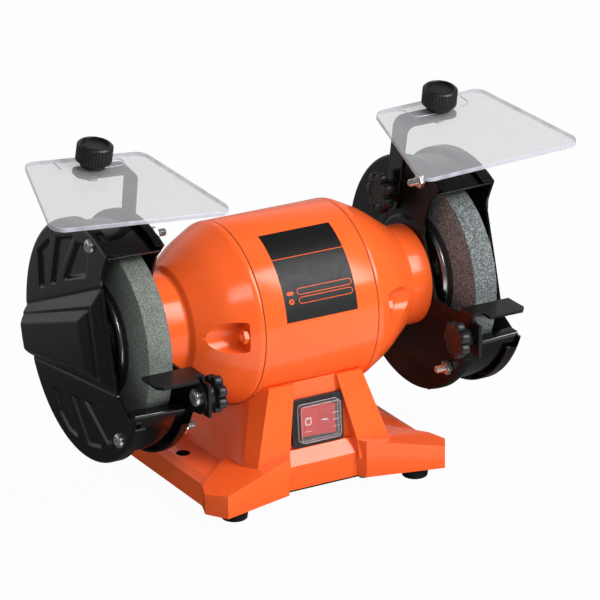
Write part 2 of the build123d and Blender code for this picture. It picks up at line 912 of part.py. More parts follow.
def wheel_blotters():
    """Paper discs between the wheels and their flanges."""
    radius = blotter_diameter / 2
    bore = wheel_bore / 2
    inner = tube(radius, bore, wheel_in - blotter_thickness, wheel_in)
    outer = tube(radius, bore, wheel_out, wheel_out + blotter_thickness)
    return both_sides(group([inner, outer]))


def spindle_nuts():
    """Nuts that clamp the wheels."""
    end = flange_out + spindle_nut_height
    nut = hexagon(spindle_nut_width, flange_out, end)
    corner = 0.58 * spindle_nut_width
    land = 0.485 * spindle_nut_width
    ease = 0.25 * spindle_nut_height
    nut &= turned([(flange_out, 0), (flange_out, corner), (end - ease, corner), (end, land), (end, 0)])
    return both_sides(nut - rod(wheel_shaft_radius - 0.35 + seat_gap, flange_out, end))


# Guards, on the right side


def wedge(low, high, start, end):
    """Sector about the shaft axis between two angles measured up from the front."""
    reach = 2 * guard_radius
    steps = 6
    points = [(0, 0)]
    for i in range(steps + 1):
        points.append(around(reach, low + (high - low) * i / steps))
    return prism_x(points, start, end)


def guard_screw_places():
    """Places (y, z) of the two screws through each guard."""
    top = around(guard_screw_radius, guard_screw_top_angle)
    low = around(guard_screw_radius, guard_screw_low_angle)
    return [top, low]


def mount_screw_places():
    """Places (y, z) of the screws that hold a back plate to its bell."""
    turns = [90 + 360 * i / mount_screw_count for i in range(mount_screw_count)]
    return [around(mount_screw_radius, turn) for turn in turns]


def ear():
    """Outline of the lobe for the tool rest's bolt, flowing in a hollow curve into the round rim."""
    low = (rest_bolt_y, rest_bolt_z - ear_radius)
    rim = around(guard_radius, ear_end_angle)
    back = (rim[1] / guard_radius, -rim[0] / guard_radius)
    reach = ear_flow
    curve = Bezier(low, (low[0] + reach, low[1]), (rim[0] + reach * back[0], rim[1] + reach * back[1]), rim)
    top = (rest_bolt_y, rest_bolt_z + ear_radius)
    root = (-plate_edge_low_y, rest_bolt_z + ear_radius - 3)
    body = make_face(curve + Polyline(rim, root, top, low))
    return body + Pos(rest_bolt_y, rest_bolt_z) * Circle(ear_radius)


def guard_plate():
    """Back plate: dished centre on the bell's neck, skirted rim, open front with an ear for the rest."""
    dish = plate_dish_radius
    deep = plate_dish_depth
    inside = guard_radius - sheet
    points = [
        (plate_in - deep, plate_shaft_hole),
        (plate_in - deep, dish),
        (plate_in, dish + 2),
        (plate_in, guard_radius),
        (plate_in + plate_skirt, guard_radius),
        (plate_in + plate_skirt, inside),
        (plate_out, inside),
        (plate_out, dish + 2.6),
        (plate_out - deep, dish + 0.6),
        (plate_out - deep, plate_shaft_hole),
    ]
    plate = turned(points, [0, 0, 0, skirt_round, 0, 0, 0, 0, 0, 0])
    start = plate_in - deep
    end = plate_in + plate_skirt
    top_y, top_z = around(guard_radius + 2, band_top_angle)
    far = -2 * guard_radius
    edge = [
        (top_y, top_z),
        (-plate_edge_top_y - 8, plate_edge_top_z + 18),
        (-plate_edge_top_y, plate_edge_top_z),
        (-plate_edge_low_y, plate_edge_low_z),
        (-plate_edge_low_y - 4, rest_bolt_z + ear_radius),
        (far, rest_bolt_z + ear_radius),
        (far, top_z),
    ]
    plate -= prism_x(edge, start, end)
    plate -= wedge(skirt_low_angle, 0, plate_out, end)
    plate += extrude(Plane.YZ.offset(plate_in) * ear(), sheet)
    bolt = clamp_bolt_diameter / 2 + running_gap
    for spot in ((rest_bolt_y, rest_bolt_z), (arm_bolt_y, arm_bolt_z)):
        plate -= rod(bolt, start, end, *spot)
    for spot in guard_screw_places():
        plate -= rod(guard_screw_diameter / 2 + screw_gap, start, end, *spot)
    for spot in mount_screw_places():
        plate -= rod(mount_screw_diameter / 2 + screw_gap, start, end, *spot)
    return plate


def guard_band():
    """Band of sheet inside both skirts, its lower front end bent inwards as a ledge."""
    start = plate_in + plate_skirt - band_lap
    outer = guard_radius - sheet
    inner = outer - sheet
    band = tube(outer, inner, start, cover_in)
    band -= wedge(band_low_angle, band_top_angle, start, cover_in)
    y, z = around(inner, band_low_angle)
    ledge = [(y - sheet, z), (y + band_ledge, z), (y + band_ledge, z - sheet), (y - sheet, z - sheet)]
    return band + prism_x(ledge, start, cover_in)


def arm_emboss():
    """Raised arm pressed in the cover in two tiers, running off the rear edge of the face."""
    rim = guard_radius + 1
    outer = [(rim, -1.9), (-28.4, 42.1), (-42.3, -18.5), (rim, -32.5)]
    middle = [(rim, -6.5), (-19.5, 28.8), (-29.8, -15.2), (rim, -31.5)]
    inner = [(rim, -8.0), (-15.5, 25.0), (-25.0, -14.5), (rim, -31.0)]
    crown = [(rim, -13.0), (-5.7, 15.6), (-15.0, -12.6), (rim, -28.5)]
    step = cover_out + arm_emboss_step
    top = cover_out + arm_emboss_height
    low = loft([Plane.YZ.offset(cover_out - sheet) * Polygon(*outer), Plane.YZ.offset(step) * Polygon(*middle)])
    high = loft([Plane.YZ.offset(step - 1) * Polygon(*inner), Plane.YZ.offset(top) * Polygon(*crown)])
    return (low + high) & rod(guard_radius, cover_in, top)


def flute(corners):
    """One pressed flute of the cover, its walls sloping in to a smaller floor."""
    middle_y = sum(y for y, z in corners) / len(corners)
    middle_z = sum(z for y, z in corners) / len(corners)
    floor = []
    for y, z in corners:
        away = hypot(y - middle_y, z - middle_z)
        share = 1 - flute_slope / away
        floor.append((middle_y + share * (y - middle_y), middle_z + share * (z - middle_z)))
    mouth = Plane.YZ.offset(cover_out) * Polygon(*corners)
    return loft([mouth, Plane.YZ.offset(cover_out - flute_depth) * Polygon(*floor)])


def flutes():
    """The six flutes of a cover, three above the raised arm and three below."""
    outlines = [
        [(54.2, 17.6), (55.0, 43.0), (38.0, 55.0), (47.9, 20.1)],
        [(38.3, 25.2), (28.5, 59.1), (6.0, 66.0), (33.0, 27.1)],
        [(20.7, 33.5), (2.0, 64.0), (-14.0, 66.0), (-9.0, 44.3)],
        [(40.6, -42.8), (32.5, -57.6), (18.0, -66.0), (6.0, -66.2), (29.3, -38.9)],
        [(16.3, -38.7), (-7.7, -67.0), (-26.0, -61.5), (5.3, -37.3)],
        [(-0.7, -36.7), (-33.0, -57.0), (-40.5, -53.0), (-28.2, -32.3)],
    ]
    return group([flute(corners) for corners in outlines])


def guard_cover():
    """Stamped cover: skirted face with an open front, a raised arm and six pressed flutes."""
    inside = guard_radius - sheet
    low = cover_out - cover_skirt
    points = [
        (cover_in, 0),
        (cover_in, inside),
        (low, inside),
        (low, guard_radius),
        (cover_out, guard_radius),
        (cover_out, 0),
    ]
    cover = turned(points, [0, 0, 0, 0, skirt_round, 0])
    hollow = Pos(-sheet, 0, 0)
    for press in flutes().solids():
        cover += hollow * press
    for press in flutes().solids():
        cover -= press
    raised = arm_emboss()
    cover += raised
    top = cover_out + arm_emboss_height
    cover -= (hollow * raised) & rod(inside, low, top)
    top_y, top_z = around(guard_radius + 2, band_top_angle)
    far = -2 * guard_radius
    edge = [
        (top_y, top_z),
        (-opening_top_inset, top_z - 20),
        (-opening_waist_y, opening_waist_z),
        (-opening_waist_y - 15, opening_sill_z),
        (far, opening_sill_z),
        (far, top_z),
    ]
    cover -= prism_x(edge, low, top)
    cover -= wedge(skirt_low_angle, 0, low, cover_in)
    for spot in guard_screw_places():
        cover -= rod(guard_screw_diameter / 2 + screw_gap, low, top, *spot)
    return cover


def guard_screws():
    """Long pan-head screws through cover and back plate, two to a guard."""
    screws = []
    for y, z in guard_screw_places():
        tip = plate_in - guard_nut_height - guard_screw_tail
        screw = rod(guard_screw_diameter / 2, tip, cover_out, y, z)
        head = rod(pan_head_diameter / 2, cover_out, cover_out + pan_head_height, y, z)
        head = fillet(head.edges().filter_by(GeomType.CIRCLE).sort_by(Axis.X)[-1], 1.4)
        screws.append(screw + head)
    return both_sides(group(screws))


def guard_nuts():
    """Nuts of the guard screws on the motor side of the back plates."""
    nuts = []
    for y, z in guard_screw_places():
        nut = hexagon(guard_nut_width, plate_in - guard_nut_height, plate_in, y, z)
        bore = rod(guard_screw_diameter / 2 + seat_gap, plate_in - guard_nut_height, plate_in, y, z)
        nuts.append(nut - bore)
    return both_sides(group(nuts))


def guard_mount_screws():
    """Screws that hold the dished centres of the back plates to the necks of the bells."""
    seat = plate_out - plate_dish_depth
    screws = []
    for y, z in mount_screw_places():
        head = rod(3.6, seat, seat + 2.2, y, z)
        tip = neck_end - mount_screw_length + 1
        screws.append(head + rod(mount_screw_diameter / 2, tip, seat, y, z))
    return both_sides(group(screws))


# Tool rests and shields, on the right side


def clamp_bolt(y, z):
    """Round-headed bolt from the wheel side of a back plate into a star knob."""
    head = rod(clamp_head_diameter / 2, plate_out, plate_out + clamp_head_height, y, z)
    head = fillet(head.edges().filter_by(GeomType.CIRCLE).sort_by(Axis.X)[-1], 2.0)
    return head + rod(clamp_bolt_diameter / 2, bolt_tip, plate_out, y, z)


def star_knob(y, z, diameter):
    """Lobed plastic knob with a tapered neck that clamps a bracket against the back plate."""
    pitch = diameter / 2 - knob_lobe_diameter / 2
    star = Circle(pitch)
    for i in range(knob_lobes):
        turn = 360 * i / knob_lobes
        star += Pos(pitch * cos(radians(turn)), pitch * sin(radians(turn))) * Circle(knob_lobe_diameter / 2)
    face = bracket_in - 0.1
    back = face - knob_neck_length
    knob = extrude(Plane.YZ.offset(back) * Pos(y, z) * star, -knob_head_length)
    neck = turned([(back, 0), (back, pitch - 0.5), (face, knob_neck_diameter / 2), (face, 0)])
    knob += Pos(0, y, z) * neck
    return knob - rod(clamp_bolt_diameter / 2 + running_gap, bolt_tip - 0.5, face, y, z)


def tool_rest():
    """Bent sheet rest: slotted arm on the guard's ear, table across the wheel, lip at the front."""
    top = rest_top_z
    back_y = -(wheel_diameter / 2 + rest_back_gap)
    low = top - rest_arm_drop
    cross = FilletPolyline(
        (bracket_in, low), (bracket_in, top), (rest_outer_x, top), radius=rest_bend
    )
    inner = bracket_in + bracket_sheet
    cross += Line((rest_outer_x, top), (rest_outer_x, top - bracket_sheet))
    cross += FilletPolyline(
        (rest_outer_x, top - bracket_sheet), (inner, top - bracket_sheet), (inner, low), radius=0.4
    )
    cross += Line((inner, low), (bracket_in, low))
    rest = extrude(Plane.XZ.offset(-back_y) * make_face(cross), rest_front_y - back_y, dir=(0, 1, 0))
    lip = [
        (rest_front_y, top - 1),
        (rest_front_y - 1, top - rest_lip),
        (rest_front_y - 1 + bracket_sheet, top - rest_lip),
        (rest_front_y + bracket_sheet, top - 1),
    ]
    rest += prism_x(lip, inner + rest_notch, rest_outer_x)
    notch_end = rest_front_y + rest_notch_depth
    notch = [
        (bracket_in - 1, rest_front_y - 2),
        (inner + rest_notch, rest_front_y - 2),
        (inner + rest_notch, notch_end),
        (bracket_in - 1, notch_end),
    ]
    rest -= prism_z(notch, top - rest_notch_drop, top + 1)
    corner = 5.0
    rest -= prism_z(
        [(rest_outer_x, rest_front_y - 2), (rest_outer_x, rest_front_y + corner - 1),
         (rest_outer_x - corner, rest_front_y - 2)], low, top + 1
    )
    slot = SlotCenterToCenter(rest_slot_travel, clamp_bolt_diameter + 2 * running_gap)
    slot = Plane.YZ.offset(bracket_in - 1) * Pos(rest_bolt_y - 1, rest_bolt_z) * slot
    return rest - extrude(slot, bracket_sheet + 2)


def arm_frame(lean, slide):
    """Where a shield arm stands: turned forwards about its bolt and drawn up along its slot."""
    return Pos(0, arm_bolt_y, arm_bolt_z) * Rot(lean, 0, 0) * Pos(0, 0, slide)


def tab_frame(lean, slide, rise):
    """Where an arm's tab stands: the arm's place, with the tab bent up about the bend of the strip."""
    half = bracket_sheet / 2
    bend = Pos(bracket_in + half, 0, arm_reach - half)
    return arm_frame(lean, slide) * bend * Rot(0, -rise, 0) * bend.inverse()


def shield_arm(lean, slide, rise):
    """Slotted strip that rises beside the guard and bends outwards into a tab over the wheel."""
    half = bracket_sheet / 2
    tip = shield_screw_x + arm_tab_reach
    run = tip - bracket_in - half
    line = FilletPolyline(
        (bracket_in + half, -arm_tail),
        (bracket_in + half, arm_reach - half),
        (bracket_in + half + run * cos(radians(rise)), arm_reach - half + run * sin(radians(rise))),
        radius=arm_bend,
    )
    strip = extrude(Plane.XZ * trace(line, bracket_sheet), arm_width, dir=(0, 1, 0), both=True)
    height = arm_tail + arm_reach + 5.0
    side = Pos(0, height / 2 - arm_tail) * Rectangle(arm_width, height)
    side = fillet(side.vertices().group_by(Axis.Y)[0], arm_width / 2 - 1.0)
    strip &= extrude(Plane.YZ.offset(bracket_in - 5) * side, tip)
    length = tip - bracket_in + 5.0
    plan = Pos(tip - length / 2, 0) * Rectangle(length, arm_width)
    plan = fillet(plan.vertices().group_by(Axis.X)[-1], 0.4 * arm_width)
    strip &= extrude(Plane.XY.offset(-arm_tail - 5) * plan, height + 10)
    slot = SlotCenterToCenter(arm_slot_travel, clamp_bolt_diameter + 2 * running_gap)
    slot = Plane.YZ.offset(bracket_in - 1) * Rot(0, 0, 90) * slot
    strip -= extrude(slot, bracket_sheet + 2)
    hole = post(shield_screw_diameter / 2 + screw_gap, 0, arm_reach + 1, shield_screw_x)
    return arm_frame(lean, slide) * strip - tab_frame(lean, slide, rise) * hole


def eye_shield(lean, slide, rise, yaw):
    """Clear shield, wider at the front, held near its rear edge."""
    rear = shield_rear_width / 2
    front = shield_front_width / 2
    near = shield_setback
    far = shield_setback - shield_depth
    outline = FilletPolyline(
        (-front, far), (front, far), (rear, near), (-rear, near), radius=shield_corner, close=True
    )
    pane = make_face(outline) - Circle(shield_screw_diameter / 2 + running_gap)
    pane = extrude(pane, shield_thickness)
    spot = Pos(shield_screw_x, 0, arm_reach + running_gap) * Rot(0, 0, yaw)
    return tab_frame(lean, slide, rise) * spot * pane


def shield_screw(lean, slide, rise):
    """Hexagon screw up through the arm's tab and the shield into the knurled knob."""
    under = arm_reach - bracket_sheet
    outline = Pos(shield_screw_x, 0) * RegularPolygon(shield_screw_head_width / 2, 6, major_radius=False)
    head = extrude(Plane.XY.offset(under) * outline, -shield_screw_head_height)
    tip = arm_reach + shield_thickness + shield_collar_height + 0.6 * shield_knob_height
    shank = post(shield_screw_diameter / 2, under, tip, shield_screw_x)
    return tab_frame(lean, slide, rise) * (head + shank)


def shield_knob(lean, slide, rise):
    """Fluted knob on a narrow collar, its top sunk inside a rim."""
    collar = shield_collar_height
    top = collar + shield_knob_height
    radius = shield_knob_diameter / 2
    knob = extrude(Circle(shield_collar_diameter / 2), collar)
    grip = Circle(radius)
    for i in range(shield_knob_flutes):
        turn = radians(360 * i / shield_knob_flutes)
        grip -= Pos(radius * cos(turn), radius * sin(turn)) * Circle(shield_flute_radius)
    knob += extrude(Plane.XY.offset(collar) * grip, shield_knob_height)
    knob -= post(shield_knob_recess_diameter / 2, top - shield_knob_recess, top)
    screw_tip = 2 * running_gap + collar + 0.6 * shield_knob_height
    knob -= post(shield_screw_diameter / 2 + running_gap, 0, screw_tip)
    spot = Pos(shield_screw_x, 0, arm_reach + shield_thickness + 2 * running_gap)
    return tab_frame(lean, slide, rise) * spot * knob


# Every node in its place

nodes = {
    "base_casting": on_bench * base_casting(),
    "bottom_plate": on_bench * bottom_plate(),
    "plate_screws": on_bench * plate_screws(),
    "rubber_feet": on_bench * rubber_feet(),
    "foot_screws": on_bench * foot_screws(),
    "motor_bolts": on_bench * motor_bolts(),
    "switch_housing": on_bench * switch_housing(),
    "switch_rocker": on_bench * switch_rocker(),
    "switch_boot": on_bench * switch_boot(),
    "switch_terminals": on_bench * switch_terminals(),
    "run_capacitor": on_bench * run_capacitor(),
    "capacitor_strap": on_bench * capacitor_strap(),
    "cord_gland": on_bench * cord_gland(),
    "motor_shell": on_shaft * motor_shell(),
    "tie_rods": on_shaft * tie_rods(),
    "tie_rod_nuts": on_shaft * tie_rod_nuts(),
    "stator_core": on_shaft * stator_core(),
    "stator_windings": on_shaft * stator_windings(),
    "bearing_outer_rings": on_shaft * bearing_outer_rings(),
    "bearing_inner_rings": on_shaft * bearing_inner_rings(),
    "bearing_balls": on_shaft * bearing_balls(),
    "preload_washers": on_shaft * preload_washers(),
    "shaft": on_shaft * shaft(),
    "rotor_core": on_shaft * rotor_core(),
    "rotor_end_rings": on_shaft * rotor_end_rings(),
    "inner_flanges": on_shaft * both_sides(wheel_flange(False)),
    "outer_flanges": on_shaft * both_sides(wheel_flange(True)),
    "wheel_blotters": on_shaft * wheel_blotters(),
    "spindle_nuts": on_shaft * spindle_nuts(),
    "guard_screws": on_shaft * guard_screws(),
    "guard_nuts": on_shaft * guard_nuts(),
    "guard_mount_screws": on_shaft * guard_mount_screws(),
}

paired = {
    "end_bell": end_bell(),
    "wheel": grinding_wheel(),
    "guard_plate": guard_plate(),
    "guard_band": guard_band(),
    "guard_cover": guard_cover(),
    "tool_rest": tool_rest(),
    "rest_bolt": clamp_bolt(rest_bolt_y, rest_bolt_z),
    "rest_knob": star_knob(rest_bolt_y, rest_bolt_z, rest_knob_diameter),
    "arm_bolt": clamp_bolt(arm_bolt_y, arm_bolt_z),
    "arm_knob": star_knob(arm_bolt_y, arm_bolt_z, arm_knob_diameter),
}
for name, piece in paired.items():
    nodes["right_" + name] = on_shaft * piece
    nodes["left_" + name] = on_shaft * mirrored(piece)

right_stand = (right_arm_lean, right_arm_raise, right_tab_rise)
left_stand = (left_arm_lean, left_arm_raise, left_tab_rise)
nodes["right_shield_arm"] = on_shaft * shield_arm(*right_stand)
nodes["left_shield_arm"] = on_shaft * mirrored(shield_arm(*left_stand))
nodes["right_eye_shield"] = on_shaft * eye_shield(*right_stand, right_shield_yaw)
nodes["left_eye_shield"] = on_shaft * mirrored(eye_shield(*left_stand, left_shield_yaw))
nodes["right_shield_screw"] = on_shaft * shield_screw(*right_stand)
nodes["left_shield_screw"] = on_shaft * mirrored(shield_screw(*left_stand))
nodes["right_shield_knob"] = on_shaft * shield_knob(*right_stand)
nodes["left_shield_knob"] = on_shaft * mirrored(shield_knob(*left_stand))

os.makedirs("parts", exist_ok=True)
for name, piece in nodes.items():
    export_step(piece, "parts/" + name + ".step")
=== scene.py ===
import json
import math

import bmesh
import bpy
import numpy as np
from mathutils import Matrix, Vector


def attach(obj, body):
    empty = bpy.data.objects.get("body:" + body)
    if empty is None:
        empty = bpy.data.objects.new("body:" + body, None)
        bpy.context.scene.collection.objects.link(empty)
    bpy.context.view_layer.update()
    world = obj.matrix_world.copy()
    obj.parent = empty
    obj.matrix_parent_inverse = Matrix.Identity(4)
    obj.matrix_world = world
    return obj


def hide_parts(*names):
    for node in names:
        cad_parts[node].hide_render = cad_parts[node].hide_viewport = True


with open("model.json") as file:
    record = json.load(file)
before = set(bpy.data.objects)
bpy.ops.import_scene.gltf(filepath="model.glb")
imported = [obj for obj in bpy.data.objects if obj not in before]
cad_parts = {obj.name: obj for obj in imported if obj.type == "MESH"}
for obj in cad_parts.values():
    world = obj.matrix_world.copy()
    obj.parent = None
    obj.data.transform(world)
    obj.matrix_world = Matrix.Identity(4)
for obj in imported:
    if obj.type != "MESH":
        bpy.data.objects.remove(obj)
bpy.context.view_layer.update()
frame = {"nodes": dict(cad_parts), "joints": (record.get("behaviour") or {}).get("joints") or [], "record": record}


# Base casting
# One hollow casting carries everything: a pillar with a cradle for the motor, four splayed feet with
# raised pads, and a bolt flange at each side. Thick orange paint rounds all its edges.

MM = 0.001


class Wire:
    """A socket in a material's nodes; sums and products of wires add the nodes that work them out."""

    def __init__(self, tree, socket):
        self.tree = tree
        self.socket = socket

    def node(self, kind, settings, inputs, output=0):
        """Any node: its settings first, then the values or wires of its sockets."""
        made = self.tree.nodes.new(kind)
        for name, value in settings.items():
            setattr(made, name, value)
        for key, value in inputs.items():
            if isinstance(value, Wire):
                self.tree.links.new(value.socket, made.inputs[key])
            else:
                made.inputs[key].default_value = value
        return Wire(self.tree, made.outputs[output])

    def maths(self, operation, first, second=0.0):
        return self.node("ShaderNodeMath", {"operation": operation}, {0: first, 1: second})

    def __add__(self, other):
        return self.maths("ADD", self, other)

    def __radd__(self, other):
        return self.maths("ADD", other, self)

    def __sub__(self, other):
        return self.maths("SUBTRACT", self, other)

    def __rsub__(self, other):
        return self.maths("SUBTRACT", other, self)

    def __mul__(self, other):
        return self.maths("MULTIPLY", self, other)

    def __rmul__(self, other):
        return self.maths("MULTIPLY", other, self)

    def __gt__(self, other):
        return self.maths("GREATER_THAN", self, other)

    def __lt__(self, other):
        return self.maths("LESS_THAN", self, other)

    def __abs__(self):
        return self.maths("ABSOLUTE", self)

    def most(self, other):
        return self.maths("MAXIMUM", self, other)

    def root(self):
        return self.maths("SQRT", self)

    def part(self, axis):
        """One coordinate of a place."""
        return self.node("ShaderNodeSeparateXYZ", {}, {0: self}, "XYZ".index(axis))

    def cloud(self, size, detail=2.0, roughness=0.5):
        """Soft noise whose features are about the given size in metres."""
        inputs = {"Vector": self, "Scale": 1.0 / size, "Detail": detail, "Roughness": roughness}
        return self.node("ShaderNodeTexNoise", {}, inputs)

    def spread(self, low, high, to_low=0.0, to_high=1.0):
        """The value stretched from one range to another, held at its ends."""
        inputs = {"Value": self, "From Min": low, "From Max": high, "To Min": to_low, "To Max": to_high}
        return self.node("ShaderNodeMapRange", {}, inputs)

    def tint(self, first, second):
        """A colour between two, by this value."""
        inputs = {0: self}
        for key, colour in ((6, first), (7, second)):
            inputs[key] = colour if isinstance(colour, Wire) else (*colour, 1.0)
        return self.node("ShaderNodeMix", {"data_type": "RGBA"}, inputs, 2)


class Finish:
    """A material with one shader: even values on its sockets, uneven ones through wires."""

    def __init__(self, name, even):
        self.material = bpy.data.materials.new(name)
        self.material.use_nodes = True
        tree = self.material.node_tree
        self.shader = tree.nodes["Principled BSDF"]
        for socket, value in even.items():
            self.shader.inputs[socket].default_value = value
        self.place = Wire(tree, tree.nodes.new("ShaderNodeTexCoord").outputs["Object"])

    def feed(self, socket, wire):
        wire.tree.links.new(wire.socket, self.shader.inputs[socket])

    def bump(self, height, depth):
        """Fine relief, its depth in metres."""
        inputs = {"Height": height, "Strength": 1.0, "Distance": depth}
        self.feed("Normal", height.node("ShaderNodeBump", {}, inputs))


def srgb(red, green, blue):
    """A colour as a picture gives it, 0 to 255, turned to the shader's scale."""
    levels = []
    for level in (red, green, blue):
        share = level / 255
        levels.append(share / 12.92 if share <= 0.04045 else ((share + 0.055) / 1.055) ** 2.4)
    return tuple(levels)


def coated(name, even, tone, colours, gloss, rough, relief, contrast=(0.0, 1.0)):
    """A skin of two close tones with an uneven gloss and fine relief, each from its own noise.

    Tone, gloss and relief begin with the size and detail of their noise; relief ends with its depth."""
    skin = Finish(name, even)
    skin.feed("Base Color", skin.place.cloud(*tone).spread(*contrast).tint(*colours))
    skin.feed("Roughness", skin.place.cloud(*gloss).spread(0.3, 0.7, *rough))
    skin.bump(skin.place.cloud(*relief[:2]), relief[2])
    return skin.material


def linked(name, bm, crease):
    """An object in the scene, its mesh smooth but for its creases."""
    mesh = bpy.data.meshes.new(name)
    bm.to_mesh(mesh)
    bm.free()
    mesh.shade_smooth()
    mesh.set_sharp_from_angle(angle=math.radians(crease))
    made = bpy.data.objects.new(name, mesh)
    bpy.context.scene.collection.objects.link(made)
    return made


def put(name, bm, material, body, replaced=(), crease=35):
    """Makes a finished piece of a mesh, riding on a body."""
    made = linked(name, bm, crease)
    made.data.materials.append(material)
    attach(made, body)
    if replaced:
        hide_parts(*replaced)
    return made


def solids_of(*nodes):
    """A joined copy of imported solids, with flat faces whole again."""
    bm = bmesh.new()
    for node in nodes:
        bm.from_mesh(frame["nodes"][node].data)
    bmesh.ops.remove_doubles(bm, verts=bm.verts, dist=0.002 * MM)
    bmesh.ops.dissolve_limit(bm, angle_limit=math.radians(0.4), verts=bm.verts, edges=bm.edges)
    return bm


def ease(made, width, steps=2, angle=32):
    """Rounds a piece's edges by a bevel of the given width in millimetres."""
    bevel = made.modifiers.new("edges", "BEVEL")
    bevel.width = width * MM
    bevel.segments = steps
    bevel.limit_method = "ANGLE"
    bevel.angle_limit = math.radians(angle)
    bevel.use_clamp_overlap = True
    bevel.harden_normals = True
    return made


def recast(name, node, material, body, width, steps=2, crease=35):
    """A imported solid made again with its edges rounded."""
    return ease(put(name, solids_of(node), material, body, [node], crease), width, steps)


def painted_hollow_shade():
    """Near-black colour inside the casting's hollows and bolt holes, dark and rough: painted shade."""
    skin = Finish("painted_hollow_shade", {"Specular IOR Level": 0.2})
    grain = skin.place.cloud(0.002, 4.0)
    skin.feed("Base Color", grain.tint(srgb(22, 19, 18), srgb(34, 29, 27)))
    skin.feed("Roughness", grain.spread(0.3, 0.7, 0.75, 0.9))
    return skin.material


HOLLOW_START, HOLLOW_END = 50.0, 74.6
HOLLOW_HALF_WIDTH = 30.1
HOLLOW_ROOF = -4.4
BOLT_X = 68.0
BOLT_WALL = 4.6
FACET_ANGLE = 14

orange = coated(
    "orange_paint", {"Specular IOR Level": 0.36}, (0.03, 3.0), (srgb(240, 94, 38), srgb(246, 101, 44)),
    (0.008, 4.0), (0.15, 0.2), (0.0016, 2.0, 0.000006),
)
casting = recast("casting", "base_casting", orange, "stand", 0.9, 3, FACET_ANGLE)
# The faces inside the hollow and the bolt holes get a near-black painted shade.
casting.data.materials.append(painted_hollow_shade())
for face in casting.data.polygons:
    spot = face.center / MM
    out = abs(spot.x)
    in_hollow = HOLLOW_START < out < HOLLOW_END and abs(spot.y) < HOLLOW_HALF_WIDTH and spot.z < HOLLOW_ROOF
    in_hole = math.hypot(out - BOLT_X, spot.y) < BOLT_WALL and abs(face.normal.z) < 0.5
    if in_hole or in_hollow:
        face.material_index = 1


# Feet and bottom plate
# Four rubber feet are screwed under the casting's corners, and a black sheet closes its hollow,
# held by small screws.


def dress(node, material):
    """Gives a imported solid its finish."""
    made = frame["nodes"][node]
    made.data.materials.clear()
    made.data.materials.append(material)


rubber = coated(
    "black_rubber", {"Specular IOR Level": 0.3}, (0.004, 2.0), (srgb(22, 22, 23), srgb(34, 34, 35)),
    (0.002, 2.0), (0.6, 0.75), (0.0007, 2.0, 0.00004),
)
gloss_black = coated(
    "gloss_black", {"Specular IOR Level": 0.6}, (0.02, 3.0), (srgb(7, 7, 8), srgb(11, 11, 12)),
    (0.01, 4.0), (0.11, 0.2), (0.0008, 2.0, 0.000004),
)
zinc = coated(
    "zinc_steel", {"Metallic": 0.88}, (0.006, 4.0), (srgb(186, 186, 184), srgb(222, 221, 217)),
    (0.002, 3.0), (0.18, 0.32), (0.0005, 2.0, 0.000006), (0.35, 0.65),
)
recast("feet", "rubber_feet", rubber, "stand", 0.8, 3)
recast("under_plate", "bottom_plate", gloss_black, "stand", 0.3)
for node in ("plate_screws", "foot_screws", "motor_bolts"):
    dress(node, zinc)


# Motor shell and end bells
# The shell is a rolled tube; a cast bell closes each end, drawn in to a neck that carries the guard.
# Both are painted like the base, and a black ring sunk in the gap where they meet paints the seam's shade dark.

SHAFT = 88.5
SHELL_RADIUS = 57.6
SHELL_END = 39.6
TIE_SEAT, TIE_Y, TIE_RISE = 49.0, 49.84, 2.5
SIDES = (("left", -1), ("right", 1))


def rounded(points, radii, steps=8):
    """An outline with its corners turned into arcs."""
    line = []
    for i, point in enumerate(points):
        radius = radii[i]
        if radius == 0:
            line.append(tuple(point))
            continue
        here = Vector(point)
        back = (Vector(points[i - 1]) - here).normalized()
        ahead = (Vector(points[(i + 1) % len(points)]) - here).normalized()
        half = back.angle(ahead) / 2
        reach = radius / math.tan(half)
        centre = here + (back + ahead).normalized() * (radius / math.sin(half))
        first = here + back * reach - centre
        last = here + ahead * reach - centre
        turn = first.angle_signed(last)
        for step in range(steps + 1):
            arm = first.copy()
            arm.rotate(Matrix.Rotation(-turn * step / steps, 2))
            line.append(tuple(centre + arm))
    return line


def lathe(outline, steps=128, at=(0.0, SHAFT), form=None):
    """Turns a closed (x, radius) outline in millimetres about a line beside the shaft.

    A form, where one is given, says how far the section departs from round at each angle."""
    bm = bmesh.new()
    rings = []
    for x, radius in outline:
        if radius < 1e-6:
            rings.append([bm.verts.new((x * MM, at[0] * MM, at[1] * MM))] * steps)
            continue
        ring = []
        for step in range(steps):
            angle = 2 * math.pi * step / steps
            reach = form(x, radius, angle) if form else radius
            y = reach * math.cos(angle) + at[0]
            z = reach * math.sin(angle) + at[1]
            ring.append(bm.verts.new((x * MM, y * MM, z * MM)))
        rings.append(ring)
    for low, high in zip(rings, rings[1:] + rings[:1]):
        for step in range(steps):
            ahead = (step + 1) % steps
            corners = []
            for corner in (low[step], low[ahead], high[ahead], high[step]):
                if corner not in corners:
                    corners.append(corner)
            if len(corners) > 2:
                bm.faces.new(corners)
    bmesh.ops.recalc_face_normals(bm, faces=bm.faces)
    return bm


def join(bm, other):
    """Adds another mesh to a mesh."""
    mesh = bpy.data.meshes.new("joined")
    other.to_mesh(mesh)
    other.free()
    bm.from_mesh(mesh)
    bpy.data.meshes.remove(mesh)
    return bm


def facing(sign, outline):
    """An outline of the right side, mirrored where the sign is that of the left."""
    return [(sign * x, radius) for x, radius in outline]


tube = [(-SHELL_END, SHELL_RADIUS), (SHELL_END, SHELL_RADIUS), (SHELL_END, 54.6), (-SHELL_END, 54.6)]
tube = rounded(tube, [0.3, 0.3, 0, 0], 3)
put("shell", lathe(tube, 192), orange, "stand", ["motor_shell"])
# A black ring sunk in each seam's gap: painted shade that makes the seam a thin dark line.
seam = [(39.62, 57.3), (39.98, 57.3), (39.98, 55.0), (39.62, 55.0)]
seams = join(lathe(seam, 192), lathe(facing(-1, seam), 192))
put("seams", seams, rubber, "stand")


